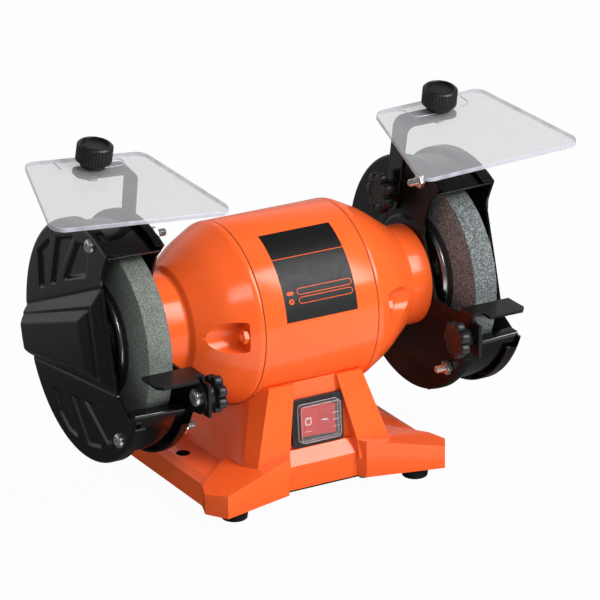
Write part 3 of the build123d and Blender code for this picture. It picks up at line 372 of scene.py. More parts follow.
def bell_outline():
    """Outline of the right bell, from the seam over the dome to the neck and back inside."""
    outside = [(40, 57.6), (43, 57.6), (60, 49), (77, 36.2), (79.4, 32.2), (94.7, 32.2)]
    inside = [(94.7, 10), (87.5, 10), (87.5, 17.5), (73.7, 17.5), (65.7, 22.5), (51, 38.6), (40, 44.6)]
    return rounded(outside + inside, [0.6, 8, 70, 3, 2.5, 1.2, 0, 0, 0, 0, 0, 0, 0], 10)


def cut(made, *cutters):
    """Takes other meshes out of a piece."""
    tools = []
    for cutter in cutters:
        tool = bpy.data.objects.new("cutter", bpy.data.meshes.new("cutter"))
        cutter.to_mesh(tool.data)
        cutter.free()
        bpy.context.scene.collection.objects.link(tool)
        knife = made.modifiers.new("cut", "BOOLEAN")
        knife.operation = "DIFFERENCE"
        knife.solver = "EXACT"
        knife.object = tool
        tools.append(tool)
    graph = bpy.context.evaluated_depsgraph_get()
    mesh = bpy.data.meshes.new_from_object(made.evaluated_get(graph), depsgraph=graph)
    made.modifiers.clear()
    made.data = mesh
    for tool in tools:
        bpy.data.objects.remove(tool)


def merge_short(made, reach):
    """Joins points that a cut has left closer together than a bevel can use."""
    bm = bmesh.new()
    bm.from_mesh(made.data)
    crease = math.radians(30)
    sharp = [v for v in bm.verts if any(e.calc_face_angle(0) > crease for e in v.link_edges)]
    bmesh.ops.remove_doubles(bm, verts=sharp, dist=reach * MM)
    bmesh.ops.dissolve_degenerate(bm, edges=bm.edges, dist=0.01 * MM)
    bm.to_mesh(made.data)
    bm.free()
    made.data.shade_smooth()


for side, sign in SIDES:
    bell = lathe(facing(sign, bell_outline()), 144)
    bell = put(f"{side}_bell", bell, orange, "stand", [f"{side}_end_bell"])
    pockets = []
    for y in (-TIE_Y, TIE_Y):
        pocket = rounded([(TIE_SEAT, 0), (TIE_SEAT, 9.9), (100, 9.9), (100, 0)], [0, 1.2, 0, 0], 4)
        pockets.append(lathe(facing(sign, pocket), 72, (y, SHAFT + TIE_RISE)))
    cut(bell, *pockets)
    merge_short(bell, 0.45)
    ease(bell, 0.9, 3, 38)


# Fasteners of the motor
# Two tie rods draw the bells on to the shell. Their nuts sit in the bells' pockets, and both were
# painted over with the motor.


def add_node(tree, kind, inputs):
    """One node of a geometry tree, its sockets set or linked."""
    made = tree.nodes.new(kind)
    for key, value in inputs.items():
        if isinstance(value, bpy.types.NodeSocket):
            tree.links.new(value, made.inputs[key])
        else:
            made.inputs[key].default_value = value
    return made


def new_tree(name, **inputs):
    """An empty geometry tree with named inputs; returns it with its input node."""
    tree = bpy.data.node_groups.new(name, "GeometryNodeTree")
    for label, kind in inputs.items():
        tree.interface.new_socket(label, in_out="INPUT", socket_type=f"NodeSocket{kind}")
    tree.interface.new_socket("Mesh", in_out="OUTPUT", socket_type="NodeSocketGeometry")
    return tree, tree.nodes.new("NodeGroupInput").outputs


def close_tree(tree, instances, finish):
    """Ends a tree: instances made real, and their material."""
    real = add_node(tree, "GeometryNodeRealizeInstances", {"Geometry": instances})
    done = add_node(tree, "GeometryNodeSetMaterial", {"Geometry": real.outputs[0], "Material": finish})
    tree.links.new(done.outputs[0], tree.nodes.new("NodeGroupOutput").inputs[0])


def fastener_tree():
    """Sets a copy of one fastener on every point of a mesh."""
    inputs = {"Places": "Geometry", "Fastener": "Object", "Turn": "Vector", "Finish": "Material"}
    tree, given = new_tree("fasteners", **inputs)
    shape = add_node(tree, "GeometryNodeObjectInfo", {"Object": given["Fastener"]})
    turn = add_node(tree, "FunctionNodeEulerToRotation", {0: given["Turn"]})
    sockets = {
        "Points": given["Places"],
        "Instance": shape.outputs["Geometry"],
        "Rotation": turn.outputs[0],
    }
    spread = add_node(tree, "GeometryNodeInstanceOnPoints", sockets)
    close_tree(tree, spread.outputs[0], given["Finish"])
    return tree


def grown(tree, values, points=()):
    """The plain mesh that a tree makes, from points in millimetres where it takes any."""
    mesh = bpy.data.meshes.new("points")
    mesh.from_pydata([Vector(point) * MM for point in points], [], [])
    holder = bpy.data.objects.new("holder", mesh)
    bpy.context.scene.collection.objects.link(holder)
    grower = holder.modifiers.new("tree", "NODES")
    grower.node_group = tree
    for item in tree.interface.items_tree:
        if item.in_out == "INPUT" and item.name in values:
            grower[item.identifier] = values[item.name]
    graph = bpy.context.evaluated_depsgraph_get()
    made = bpy.data.meshes.new_from_object(holder.evaluated_get(graph), depsgraph=graph)
    bpy.data.objects.remove(holder)
    bm = bmesh.new()
    bm.from_mesh(made)
    return bm


def set_fasteners(name, form, places, finish, replaced, body="stand"):
    """Both sides' fasteners as one piece; a form points to the right, and is turned for the left."""
    shape = linked("shape", form, 30)
    whole = bmesh.new()
    for sign in (-1, 1):
        points = [(sign * x, y, z + SHAFT) for x, y, z in places]
        turn = (0.0, 0.0, 0.0 if sign > 0 else math.pi)
        join(whole, grown(fasteners, {"Fastener": shape, "Turn": turn, "Finish": finish}, points))
    bpy.data.objects.remove(shape)
    return put(name, whole, finish, body, replaced, 30)


def nut(width, height, bore):
    """Hexagon nut with broken corners, standing on x = 0."""
    flat = width / 2
    side = math.radians(60)

    def form(x, radius, angle):
        if radius < flat * 0.9:
            return radius
        return radius / math.cos((angle % side) - side / 2)

    chamfer = 0.07 * width
    outline = [
        (0, bore), (0, flat - chamfer), (chamfer, flat), (height - chamfer, flat),
        (height, flat - chamfer), (height, bore + 0.3), (height - 0.4, bore),
    ]
    return lathe(outline, 48, (0, 0), form)


def threaded(radius, start, end, pitch, core=0.35):
    """Outline of a threaded length, its ridges turned as rings."""
    line = []
    count = int((end - start) / pitch)
    for i in range(count):
        line.append((start + (i + 0.05) * pitch, radius - core))
        line.append((start + (i + 0.5) * pitch, radius))
    return line + [(end - 0.2, radius - core), (end, radius - 2 * core), (end, 0)]


fasteners = fastener_tree()
tie_places = [(TIE_SEAT, -TIE_Y, TIE_RISE), (TIE_SEAT, TIE_Y, TIE_RISE)]
tie_nut = nut(8.0, 4.0, 2.52)
set_fasteners("tie_nuts", tie_nut, tie_places, orange, ["tie_rod_nuts"])
tie_rod = [(-48.9, 0), (-48.9, 2.48), (3.9, 2.48)] + threaded(2.48, 3.9, 5.5, 0.8, 0.25)
set_fasteners("tie_ends", lathe(tie_rod, 32, (0, 0)), tie_places, orange, ["tie_rods"])


# Label
# A black printed film wrapped on the front of the shell: an orange rule divides it, and two ruled
# boxes stand below, with a small mark beside each.

FILM_LEFT, FILM_RIGHT = -24.8, 25.0
FILM_LOW, FILM_TOP = 8.0, 68.0
FILM_RADIUS = SHELL_RADIUS + 0.12
FILM_BACK = SHELL_RADIUS + 0.01
RULE_AT = 48.0


def film_patch():
    """Thin closed patch on the shell; its UV map gives x and arc length in decimetres."""
    bm = bmesh.new()
    steps = 48
    front = ((FILM_LEFT, FILM_RADIUS), (FILM_RIGHT, FILM_RADIUS))
    corners = front + ((FILM_RIGHT, FILM_BACK), (FILM_LEFT, FILM_BACK))
    rows = []
    for step in range(steps + 1):
        angle = math.radians(FILM_LOW + (FILM_TOP - FILM_LOW) * step / steps)
        row = []
        for x, r in corners:
            spot = Vector((x, -r * math.cos(angle), r * math.sin(angle) + SHAFT))
            row.append(bm.verts.new(spot * MM))
        rows.append(row)
    for low, high in zip(rows, rows[1:]):
        for i in range(4):
            j = (i + 1) % 4
            bm.faces.new((low[i], low[j], high[j], high[i]))
    bm.faces.new(rows[0])
    bm.faces.new(rows[-1])
    bmesh.ops.recalc_face_normals(bm, faces=bm.faces)
    layer = bm.loops.layers.uv.new("film")
    for face in bm.faces:
        for loop in face.loops:
            spot = loop.vert.co / MM
            arc = FILM_RADIUS * math.atan2(spot.z - SHAFT, -spot.y)
            loop[layer].uv = (spot.x * 0.01, arc * 0.01)
    return bm


def pill(across, along, x, arc, half, radius):
    """Distance in decimetres from the outline of a long rounded box."""
    beyond = (abs(across - x) - half).most(0.0)
    rise = along - arc
    return abs((beyond * beyond + rise * rise).root() - radius)


def printed_film():
    """Printed plastic film: black ink, orange lines, an even satin skin."""
    film = Finish("printed_film", {"Specular IOR Level": 0.2})
    chart = film.place.node("ShaderNodeUVMap", {"uv_map": "film"}, {})
    across, along = chart.part("X"), chart.part("Y")
    degree = FILM_RADIUS * math.radians(1) * 0.01
    rule = abs(along - RULE_AT * degree) < 0.0026
    upper_box = pill(across, along, 0.042, 25.8 * degree, 0.171, 0.019) < 0.0022
    lower_box = pill(across, along, 0.042, 20.3 * degree, 0.169, 0.019) < 0.0022
    disc = pill(across, along, -0.199, 20.4 * degree, 0.0, 0.0125) < 0.0052
    motor = pill(across, along, -0.199, 25.5 * degree, 0.012, 0.006) < 0.0055
    ink = rule
    for mark in (upper_box, lower_box, disc, motor):
        ink = ink.most(mark)
    ground = (along > RULE_AT * degree).tint(srgb(34, 34, 35), srgb(20, 20, 21))
    film.feed("Base Color", ink.tint(ground, srgb(222, 84, 28)))
    film.feed("Roughness", film.place.cloud(0.004, 3.0).spread(0.3, 0.7, 0.36, 0.44))
    return film.material


put("label", film_patch(), printed_film(), "stand")


# Wheels
# Straight vitrified wheels, the left finer and greener, the right coarser and paler. Each is clamped
# between paper blotters and turned steel flanges by a nut on the shaft.


def abrasive(name, dark, middle, pale, size):
    """Bonded grit: pale and dark grains in a mid-grey bond, with small pores."""
    stone = Finish(name, {"Specular IOR Level": 0.3})
    inputs = {"Vector": stone.place, "Scale": 1.0 / size, "Randomness": 1.0}
    grain = stone.place.node("ShaderNodeTexVoronoi", {}, inputs, 1)
    cloud = stone.place.cloud(size * 1.5, 2.0, 0.6)
    tone = grain * 0.75 + cloud * 0.25
    colour = tone.spread(0.3, 0.5).tint(dark, tone.spread(0.5, 0.68).tint(middle, pale))
    stone.feed("Base Color", colour)
    stone.feed("Roughness", tone.spread(0.3, 0.7, 0.92, 0.72))
    stone.bump(tone, 0.00028)
    return stone.material


def turned_steel(name, dark, pale, rough):
    """Turned steel with fine rings about the shaft."""
    steel = Finish(name, {"Metallic": 1.0})
    y = steel.place.part("Y")
    z = steel.place.part("Z") - SHAFT * MM
    radius = (y * y + z * z).root()
    rings = radius.node("ShaderNodeTexNoise", {"noise_dimensions": "1D"}, {"W": radius, "Scale": 2600.0})
    steel.feed("Base Color", rings.spread(0.3, 0.7).tint(dark, pale))
    steel.feed("Roughness", rings.spread(0.3, 0.7, rough - 0.05, rough + 0.06))
    steel.bump(rings, 0.00001)
    return steel.material


def blotter_paper():
    """Soft grey paper disc with a felted surface."""
    paper = Finish("blotter_paper", {"Specular IOR Level": 0.15})
    fibre = paper.place.cloud(0.0012, 5.0, 0.7)
    paper.feed("Base Color", fibre.spread(0.3, 0.7).tint(srgb(40, 41, 40), srgb(56, 57, 55)))
    paper.feed("Roughness", fibre.spread(0.3, 0.7, 0.8, 0.95))
    paper.bump(fibre, 0.00008)
    return paper.material


grits = {
    "left": abrasive("fine_abrasive", srgb(92, 98, 92), srgb(110, 116, 110), srgb(130, 136, 129), 0.0006),
    "right": abrasive("coarse_abrasive", srgb(74, 80, 81), srgb(96, 102, 103), srgb(136, 142, 142), 0.0007),
}
near, far, bore, rim = 106.8, 122.8, 6.36, 62.5
outline = rounded([(near, bore), (near, rim), (far, rim), (far, bore)], [0, 0.7, 0.7, 0], 3)
for side, sign in SIDES:
    wheel = lathe(facing(sign, outline), 192)
    put(f"{side}_stone", wheel, grits[side], "rotor", [f"{side}_wheel"])
flange_steel = turned_steel("flange_steel", srgb(186, 188, 191), srgb(206, 208, 211), 0.24)
dish = [
    (0, 6.4), (0, 33), (1.8, 33), (3.4, 31.6), (4.2, 29.6), (3.2, 26.6), (2.2, 20), (2.6, 16),
    (4.6, 13), (4.6, 6.4),
]
dish = rounded(dish, [0, 0.3, 1.2, 1.2, 1.0, 1.6, 2.5, 2.0, 1.0, 0], 5)
for name, face, way in (("inner", 106.0, -1), ("outer", 123.6, 1)):
    outline = [(face + way * x, r) for x, r in dish]
    pair = join(lathe(outline, 120), lathe(facing(-1, outline), 120))
    put(f"{name}_flange_pair", pair, flange_steel, "rotor", [f"{name}_flanges"])
dress("wheel_blotters", blotter_paper())
spindle_nut = nut(19.0, 6.5, 6.0)
set_fasteners("wheel_nuts", spindle_nut, [(128, 0, 0)], zinc, ["spindle_nuts"], "rotor")


# Guard plates and bands
# A stamped back plate is screwed to each bell's neck, its rim turned out into a skirt and its lower
# front drawn out into an ear. A rolled band closes the guard's round, bent in at its lower front end.


def from_front(radius, degrees):
    """Place (y, z) at an angle measured up from the front."""
    angle = math.radians(degrees)
    return (-radius * math.cos(angle), radius * math.sin(angle))


def band_mesh(sign):
    """Rolled band a little tighter at the plate than at the cover, its low end bent in as a ledge."""
    sheet, steps = 1.5, 96
    bm = bmesh.new()
    loops = []
    for x, radius, low, depth in ((98.2, 71.2, -23.5, 8.0), (135.4, 72.8, -20.5, 9.0)):
        turns = [61 + (299 + low) * i / steps for i in range(steps + 1)]
        path = [from_front(radius, turn) for turn in turns]
        fold_y, fold_z = path.pop()
        edge = (fold_y + depth, fold_z + 0.4)
        path += rounded([path[-1], (fold_y, fold_z), edge], [0, 1.4, 0], 6)[1:]
        path += [(fold_y + depth, fold_z + 0.4 - sheet)]
        path += [from_front(radius - sheet, turn) for turn in reversed(turns[:-1])]
        loops.append([bm.verts.new(Vector((sign * x, y, z + SHAFT)) * MM) for y, z in path])
    near, far = loops
    count = len(near)
    for i in range(count):
        j = (i + 1) % count
        bm.faces.new((near[i], near[j], far[j], far[i]))
    last = count - 1
    for loop in loops:
        for i in range(steps - 1):
            bm.faces.new((loop[i], loop[i + 1], loop[last - i - 1], loop[last - i]))
        bm.faces.new(loop[steps - 1:last - steps + 2])
    bmesh.ops.recalc_face_normals(bm, faces=bm.faces)
    return bm


satin_black = coated(
    "satin_black", {"Specular IOR Level": 0.22}, (0.02, 3.0), (srgb(12, 12, 13), srgb(17, 17, 18)),
    (0.01, 4.0), (0.3, 0.39), (0.0008, 2.0, 0.00002),
)
for side, sign in SIDES:
    recast(f"{side}_plate", f"{side}_guard_plate", satin_black, "stand", 0.6)
    node = f"{side}_guard_band"
    band = put(f"{side}_band", band_mesh(sign), gloss_black, "stand", [node], 25)
    ease(band, 0.6)


# Guard covers
# A stamped sheet over the outside of each wheel: a flat face with a turned rim, open at the front,
# with a raised arm pressed in two tiers across it and six flutes that stiffen it.

COVER_FACE = 137.0
COVER_RADIUS = 75.8
COVER_SHEET = 1.5
SKIRT_DEPTH = 9.0


def wall_share(points, foot, top):
    """How far up a pressed wall each point lies: 0 outside the foot outline, 1 inside the top one."""
    share = np.ones(len(points))
    count = len(foot)
    middle = np.mean(np.array(foot), axis=0)
    for i in range(count):
        gaps = []
        for first, second in ((foot[i], foot[(i + 1) % count]), (top[i], top[(i + 1) % count])):
            a, b = np.array(first), np.array(second)
            along = (b - a) / np.linalg.norm(b - a)
            inward = np.array((-along[1], along[0]))
            if (middle - a) @ inward < 0:
                inward = -inward
            gaps.append((points - a) @ inward)
        past_foot, past_top = gaps
        climb = np.where(past_top >= 0, 1.0, past_foot / np.maximum(past_foot - past_top, 1e-9))
        share = np.minimum(share, np.clip(climb, 0.0, 1.0))
    return share


def pressed_depth(points):
    """Height of the pressing over the flat face, in millimetres, at points (y, z) from the shaft."""
    rim = COVER_RADIUS + 1
    arm_foot = [(rim, -1.9), (-28.4, 42.1), (-42.3, -18.5), (rim, -32.5)]
    arm_step = [(rim, -6.5), (-19.5, 28.8), (-29.8, -15.2), (rim, -31.5)]
    crown_foot = [(rim, -8.0), (-15.5, 25.0), (-25.0, -14.5), (rim, -31.0)]
    crown_top = [(rim, -13.0), (-5.7, 15.6), (-15.0, -12.6), (rim, -28.5)]
    arm_rim = [(rim, -0.2), (-29.8, 44.8), (-44.4, -20.2), (rim, -34.3)]
    foot = wall_share(points, arm_foot, arm_step)
    low = np.where(foot > 0, 3.0 * foot, -0.5 * (wall_share(points, arm_rim, arm_foot) > 0))
    share = wall_share(points, crown_foot, crown_top)
    height = np.where(share > 0, 3.0 + 2.0 * share, low - 0.8 * (foot >= 1))
    mouths = [
        [(54.2, 17.6), (55.0, 43.0), (38.0, 55.0), (47.9, 20.1)],
        [(38.3, 25.2), (28.5, 59.1), (6.0, 66.0), (33.0, 27.1)],
        [(20.7, 33.5), (2.0, 64.0), (-14.0, 66.0), (-9.0, 44.3)],
        [(40.6, -42.8), (32.5, -57.6), (18.0, -66.0), (6.0, -66.2), (29.3, -38.9)],
        [(16.3, -38.7), (-7.7, -67.0), (-26.0, -61.5), (5.3, -37.3)],
        [(-0.7, -36.7), (-33.0, -57.0), (-40.5, -53.0), (-28.2, -32.3)],
    ]
    for mouth in mouths:
        middle = np.mean(np.array(mouth), axis=0)
        deep, slope = (2.0, 2.2) if middle[1] > 0 else (1.4, 3.6)
        floor = []
        for corner in np.array(mouth):
            away = np.linalg.norm(corner - middle)
            floor.append(tuple(middle + (corner - middle) * (1 - slope / away)))
        height = height - deep * wall_share(points, mouth, floor)
    return height


def soft_depth(points):
    """The pressing with its bends rounded, as sheet takes them."""
    total = pressed_depth(points)
    weight = 1.0
    for reach, spots in ((0.4, 6), (0.8, 10)):
        for i in range(spots):
            angle = 2 * math.pi * i / spots
            total = total + pressed_depth(points + reach * np.array((math.cos(angle), math.sin(angle))))
            weight += 1.0
    return total / weight


def cover_mesh(steps=450):
    """The whole round pressing of the right cover as a closed sheet, before its front is cut open."""
    bend = 2.5
    edge = COVER_RADIUS - bend
    low_x = -SKIRT_DEPTH
    angles = np.linspace(0, 2 * math.pi, steps, endpoint=False)
    ways = np.stack((np.cos(angles), np.sin(angles)), axis=1)
    bm = bmesh.new()

    def ring(x, radius, heights):
        row = []
        for way, height in zip(ways, heights):
            spot = Vector((COVER_FACE + x + height, radius * way[0], radius * way[1] + SHAFT))
            row.append(bm.verts.new(spot * MM))
        return row

    def sheet_side(inset, count):
        """Rows of one side of the sheet: its face from the middle out, its turned edge, its skirt."""
        turn = bend - inset
        profile = [(-inset, r) for r in np.linspace(1.2, edge, count)]
        for i in range(1, 7):
            angle = math.radians(15 * i)
            profile.append((turn * math.cos(angle) - bend, edge + turn * math.sin(angle)))
        rows = [ring(x, radius, soft_depth(ways * radius)) for x, radius in profile]
        rim_radius = COVER_RADIUS - inset
        top = soft_depth(ways * rim_radius)
        for share in (0.66, 0.33):
            rows.append(ring(-bend * share + low_x * (1 - share), rim_radius, top * share))
        return rows

    outer = sheet_side(0.0, 116)
    inner = sheet_side(COVER_SHEET, 40)
    flat = np.zeros(steps)
    lip = []
    for rise, inset in ((0.4, 0.0), (0.1, 0.3), (0.0, 0.75), (0.1, 1.2), (0.4, COVER_SHEET)):
        lip.append(ring(low_x + rise, COVER_RADIUS - inset, flat))
    rows = outer + lip + inner[::-1]
    for low, high in zip(rows, rows[1:]):
        for i in range(steps):
            j = (i + 1) % steps
            bm.faces.new((low[i], low[j], high[j], high[i]))
    for row, x in ((outer[0], 0.0), (inner[0], -COVER_SHEET)):
        height = float(soft_depth(np.zeros((1, 2)))[0])
        pole = bm.verts.new(Vector((COVER_FACE + x + height, 0, SHAFT)) * MM)
        for i in range(steps):
            bm.faces.new((row[i], row[(i + 1) % steps], pole))
    bmesh.ops.recalc_face_normals(bm, faces=bm.faces)
    return bm


def prism_x(points, start, end):
    """Closed prism along x over an outline (y, z) from the shaft."""
    bm = bmesh.new()
    caps = []
    for x in (start, end):
        caps.append([bm.verts.new(Vector((x, y, z + SHAFT)) * MM) for y, z in points])
    count = len(points)
    for i in range(count):
        j = (i + 1) % count
        bm.faces.new((caps[0][i], caps[0][j], caps[1][j], caps[1][i]))
    bm.faces.new(caps[0])
    bm.faces.new(caps[1])
    bmesh.ops.recalc_face_normals(bm, faces=bm.faces)
    return bm


def cover_opening():
    """What is cut from a cover: its open front, and the skirt below the opening."""
    top_y, top_z = from_front(COVER_RADIUS + 2, 61)
    far = -2 * COVER_RADIUS
    front = [(top_y, top_z), (-28, top_z - 20), (-47, -20), (-62, -28.4), (far, -28.4), (far, top_z)]
    front = rounded(front, [0, 14, 3, 6, 0, 0], 8)
    low = [(0, 0)] + [from_front(2 * COVER_RADIUS, -28.3 + 28.3 * i / 6) for i in range(7)]
    return prism_x(front, 120, 150), prism_x(low, 120, COVER_FACE - COVER_SHEET - 0.06)


def mirrored(bm):
    """The other side's copy of a mesh."""
    other = bm.copy()
    bmesh.ops.scale(other, vec=(-1, 1, 1), verts=other.verts)
    bmesh.ops.reverse_faces(other, faces=other.faces)
    return other


cover = put("cover", cover_mesh(), gloss_black, "stand")
cut(cover, *cover_opening())
pressing = bmesh.new()
pressing.from_mesh(cover.data)
bpy.data.objects.remove(cover)
for side in ("left", "right"):
    made = pressing.copy() if side == "right" else mirrored(pressing)
    put(f"{side}_cover", made, gloss_black, "stand", [f"{side}_guard_cover"], 40)
pressing.free()


# Guard screws
# Two long pan-head screws draw each cover against its back plate; their nuts and thread ends show on
# the motor's side.

SCREW_TIP, PITCH = -51, 0.8
PLATE_BACK, NUT_HEIGHT = 96.2, 4.2
guard_places = [(COVER_FACE, *from_front(68.5, angle)) for angle in (76, -44)]
head = [
    (0, 4.5), (0.9, 4.5), (1.7, 4.2), (2.3, 3.6), (2.6, 2.9), (2.6, 2.0), (2.45, 1.8), (1.2, 1.8), (1.2, 0),
]
thread = []
for i in range(15):
    start = SCREW_TIP + PITCH * i
    thread += [(start + 0.3, 2.0), (start + 0.7, 2.38)]
shank = [(SCREW_TIP, 0), (SCREW_TIP, 1.7)] + thread + [(-38.5, 2.38), (0, 2.38)]
screw = lathe(head + shank, 40, (0, 0))
set_fasteners("guard_bolts", screw, guard_places, zinc, ["guard_screws"])
nut_places = [(PLATE_BACK - NUT_HEIGHT, y, z) for x, y, z in guard_places]
guard_nut = nut(8.0, NUT_HEIGHT, 2.42)
set_fasteners("bolt_nuts", guard_nut, nut_places, zinc, ["guard_nuts"])
dress("guard_mount_screws", zinc)


# Tool rests
# A bent sheet-steel table in front of each wheel, its arm clamped by a bolt and a star knob against
# the guard's ear, in a slot that lets it be set as the wheel wears.


def block(low, high):
    """Closed box between two corners in millimetres."""
    bm = bmesh.new()
    bmesh.ops.create_cube(bm, size=1.0)
    middle = (Vector(low) + Vector(high)) / 2 * MM
    bmesh.ops.scale(bm, vec=(Vector(high) - Vector(low)) * MM, verts=bm.verts)
    bmesh.ops.translate(bm, vec=middle, verts=bm.verts)
    return bm


for side, sign in SIDES:
    node = f"{side}_tool_rest"
    rest = put(f"{side}_rest_table", solids_of(node), satin_black, f"{side}_rest", [node])
    reach = sorted((sign * 101.0, sign * 132.0))
    cut(rest, block((reach[0], -92.0, 78.0), (reach[1], -84.8, SHAFT - 4.5)))
    ease(rest, 0.45, 3)


# Clamp bolts and star knobs
# Round-headed plated bolts pass through the guard plate, and moulded seven-lobed knobs on their ends
# clamp the rests and the shield arms.

LOBES = 7
LOBE_RADIUS = 3.7


def lobed(pitch):
    """Section of a star knob: round lobes on a pitch circle, the hollows between them eased."""

    def form(x, radius, angle):
        if radius < pitch - 0.01:
            return radius
        lobe = 2 * math.pi / LOBES
        off = (angle + lobe / 2) % lobe - lobe / 2
        across = pitch * math.sin(off)
        reach = pitch - 0.6
        if abs(across) < LOBE_RADIUS:
            reach = max(reach, pitch * math.cos(off) + math.sqrt(LOBE_RADIUS**2 - across**2))
        return reach - (pitch + LOBE_RADIUS - radius)

    return form


def star_knob(sign, y, z, diameter):
    """Star knob with a tapered neck, its head rounded at both edges and hollowed a little on top."""
    pitch = diameter / 2 - LOBE_RADIUS
    full = diameter / 2
    outline = [
        (94.0, 3.05), (94.0, 6.3), (93.7, 6.6), (88.9, 6.9), (88.4, pitch - 0.3), (88.4, full - 1.4),
        (88.25, full - 0.7), (87.9, full - 0.2), (87.3, full), (83.8, full), (83.0, full - 0.3),
        (82.5, full - 0.9), (82.3, full - 1.9), (82.3, pitch - 1.5), (82.8, pitch - 2.3), (82.8, 0),
        (84.5, 0), (84.5, 3.05),
    ]
    return lathe(facing(sign, outline), 168, (y, z + SHAFT), lobed(pitch))


plastic = coated(
    "black_plastic", {"Specular IOR Level": 0.45}, (0.006, 2.0), (srgb(18, 18, 19), srgb(26, 26, 27)),
    (0.002, 3.0), (0.34, 0.46), (0.0006, 2.0, 0.00002),
)
for side, sign in SIDES:
    for part, y, z, diameter in (("rest", -75.5, -18.4, 24.0), ("arm", 17.0, 50.5, 27.0)):
        knob = star_knob(sign, y, z, diameter)
        node = f"{side}_{part}_knob"
        put(f"{side}_{part}_star", knob, plastic, f"{side}_{part}_grip", [node], 30)
        node = f"{side}_{part}_bolt"
        body = f"{side}_{part}_clamp"
        put(f"{side}_{part}_clamp_bolt", solids_of(node), zinc, body, [node], 30)


# Shield arms
# A slotted steel strip, painted black, rises beside each guard and bends outwards into a tab over the
# wheel. A clamp bolt holds it to the guard plate.

for side in ("left", "right"):
    recast(f"{side}_strip", f"{side}_shield_arm", gloss_black, f"{side}_arm", 0.35)
    dress(f"{side}_shield_screw", zinc)


# Eye shields
# Clear moulded panes over the wheels, wider at the front, with softly rounded edges. Each is held on
# its arm's tab by a screw and a fluted knob.


def clear_skin(name, gloss, noise, colours, rough, alpha):
    """Clear plastic with a little haze, which sets its tone, its gloss and how much it hides."""
    skin = Finish(name, {"Specular IOR Level": gloss})
    haze = skin.place.cloud(*noise)
    skin.feed("Base Color", haze.tint(*colours))
    skin.feed("Roughness", haze.spread(0.3, 0.7, *rough))
    skin.feed("Alpha", haze.spread(*alpha))
    return skin.material


def bead_along(bm, line, radius, closed):
    """Adds a thin round bead along a line of points."""
    count = len(line)
    rings = []
    for i, spot in enumerate(line):
        back = line[i - 1] if closed or i else spot
        ahead = line[(i + 1) % count] if closed or i < count - 1 else spot
        way = (ahead - back).normalized()
        side = way.cross(Vector((0.3, 0.8, 0.5))).normalized()
        rise = side.cross(way)
        ring = []
        for step in range(8):
            angle = 2 * math.pi * step / 8
            offset = side * math.cos(angle) + rise * math.sin(angle)
            ring.append(bm.verts.new(spot + offset * radius * MM))
        rings.append(ring)
    pairs = list(zip(rings, rings[1:]))
    if closed:
        pairs.append((rings[-1], rings[0]))
    for low, high in pairs:
        for step in range(8):
            ahead = (step + 1) % 8
            bm.faces.new((low[step], low[ahead], high[ahead], high[step]))
    if not closed:
        bm.faces.new(rings[0])
        bm.faces.new(rings[-1])


def smooth_line(points, steps=6):
    """Smooth curve through points (x, y)."""
    ends = [points[0], *points, points[-1]]
    line = []
    for a, b, c, d in zip(ends, ends[1:], ends[2:], ends[3:]):
        for i in range(steps):
            t = i / steps
            spot = []
            for m, n, o, p in zip(a, b, c, d):
                bend = (2 * m - 5 * n + 4 * o - p) * t * t + (3 * n - m - 3 * o + p) * t**3
                spot.append(n + 0.5 * ((o - m) * t + bend))
            line.append(tuple(spot))
    return line + [points[-1]]


def joint_line(name):
    """Where a joint is, and the way its axis points."""
    joint = next(j for j in frame["joints"] if j["name"] == name)
    return Vector(joint["pos_m"]), Vector(joint["axis"]).normalized()


PANE_SHEET = 3.0
# Ridges moulded in each pane, drawn as thin beads; their pale colour is a painted highlight.
ridges = {
    "left": [
        [(-109, 12.8), (-102, 12.6), (-100.4, 8.2), (-105.8, 3.9), (-124, 4.1)],
        [(-143.4, 16.4), (-142.8, 7)],
    ],
    "right": [
        [(92.5, 13.7), (96.9, 13.9), (100.4, 11.5), (101.1, 6.8), (103.4, 2.8), (111.5, 1.6), (126, 1.8)],
        [(143.5, 15.5), (144.1, 8), (141.1, 4.9), (136.9, 4.6)],
    ],
}
pane_finish = clear_skin(
    "clear_pane", 0.5, (0.02, 3.0), (srgb(178, 179, 182), srgb(185, 186, 189)),
    (0.08, 0.14), (0.3, 0.7, 0.33, 0.35),
)
# Paler, more opaque finish on the panes' edge faces and ridge beads: a painted highlight for the bright edges of
# clear plastic.
pane_edge_highlight = clear_skin(
    "pane_rim_highlight", 0.6, (0.008, 3.0), (srgb(176, 176, 190), srgb(190, 190, 203)),
    (0.1, 0.2), (0.35, 0.65, 0.55, 0.8),
)
for side in ("left", "right"):
    node = f"{side}_eye_shield"
    pane = recast(f"{side}_pane", node, pane_finish, f"{side}_shield", 0.6, 3)
    pane.data.materials.append(pane_edge_highlight)
    foot, axis = joint_line(f"{side}_shield_turn")
    # The pane's edge faces take the painted-highlight finish.
    for face in pane.data.polygons:
        face.material_index = 0 if abs(face.normal.dot(axis)) > 0.7 else 1
    top = foot + axis * PANE_SHEET * MM
    lines = bmesh.new()
    for ridge in ridges[side]:
        line = []
        for x, y in smooth_line(ridge):
            away = Vector((x * MM, y * MM, 0)) - top
            line.append(Vector((x * MM, y * MM, top.z - (away.x * axis.x + away.y * axis.y) / axis.z)))
        bead_along(lines, line, 0.35, False)
    bmesh.ops.recalc_face_normals(lines, faces=lines.faces)
    put(f"{side}_pane_ridges", lines, pane_edge_highlight, f"{side}_shield", (), 40)


# Shield knobs
# A moulded black knob with fine flutes round its rim and a sunk top, on a narrow collar. It screws
# down on the pane and holds it to the tab.


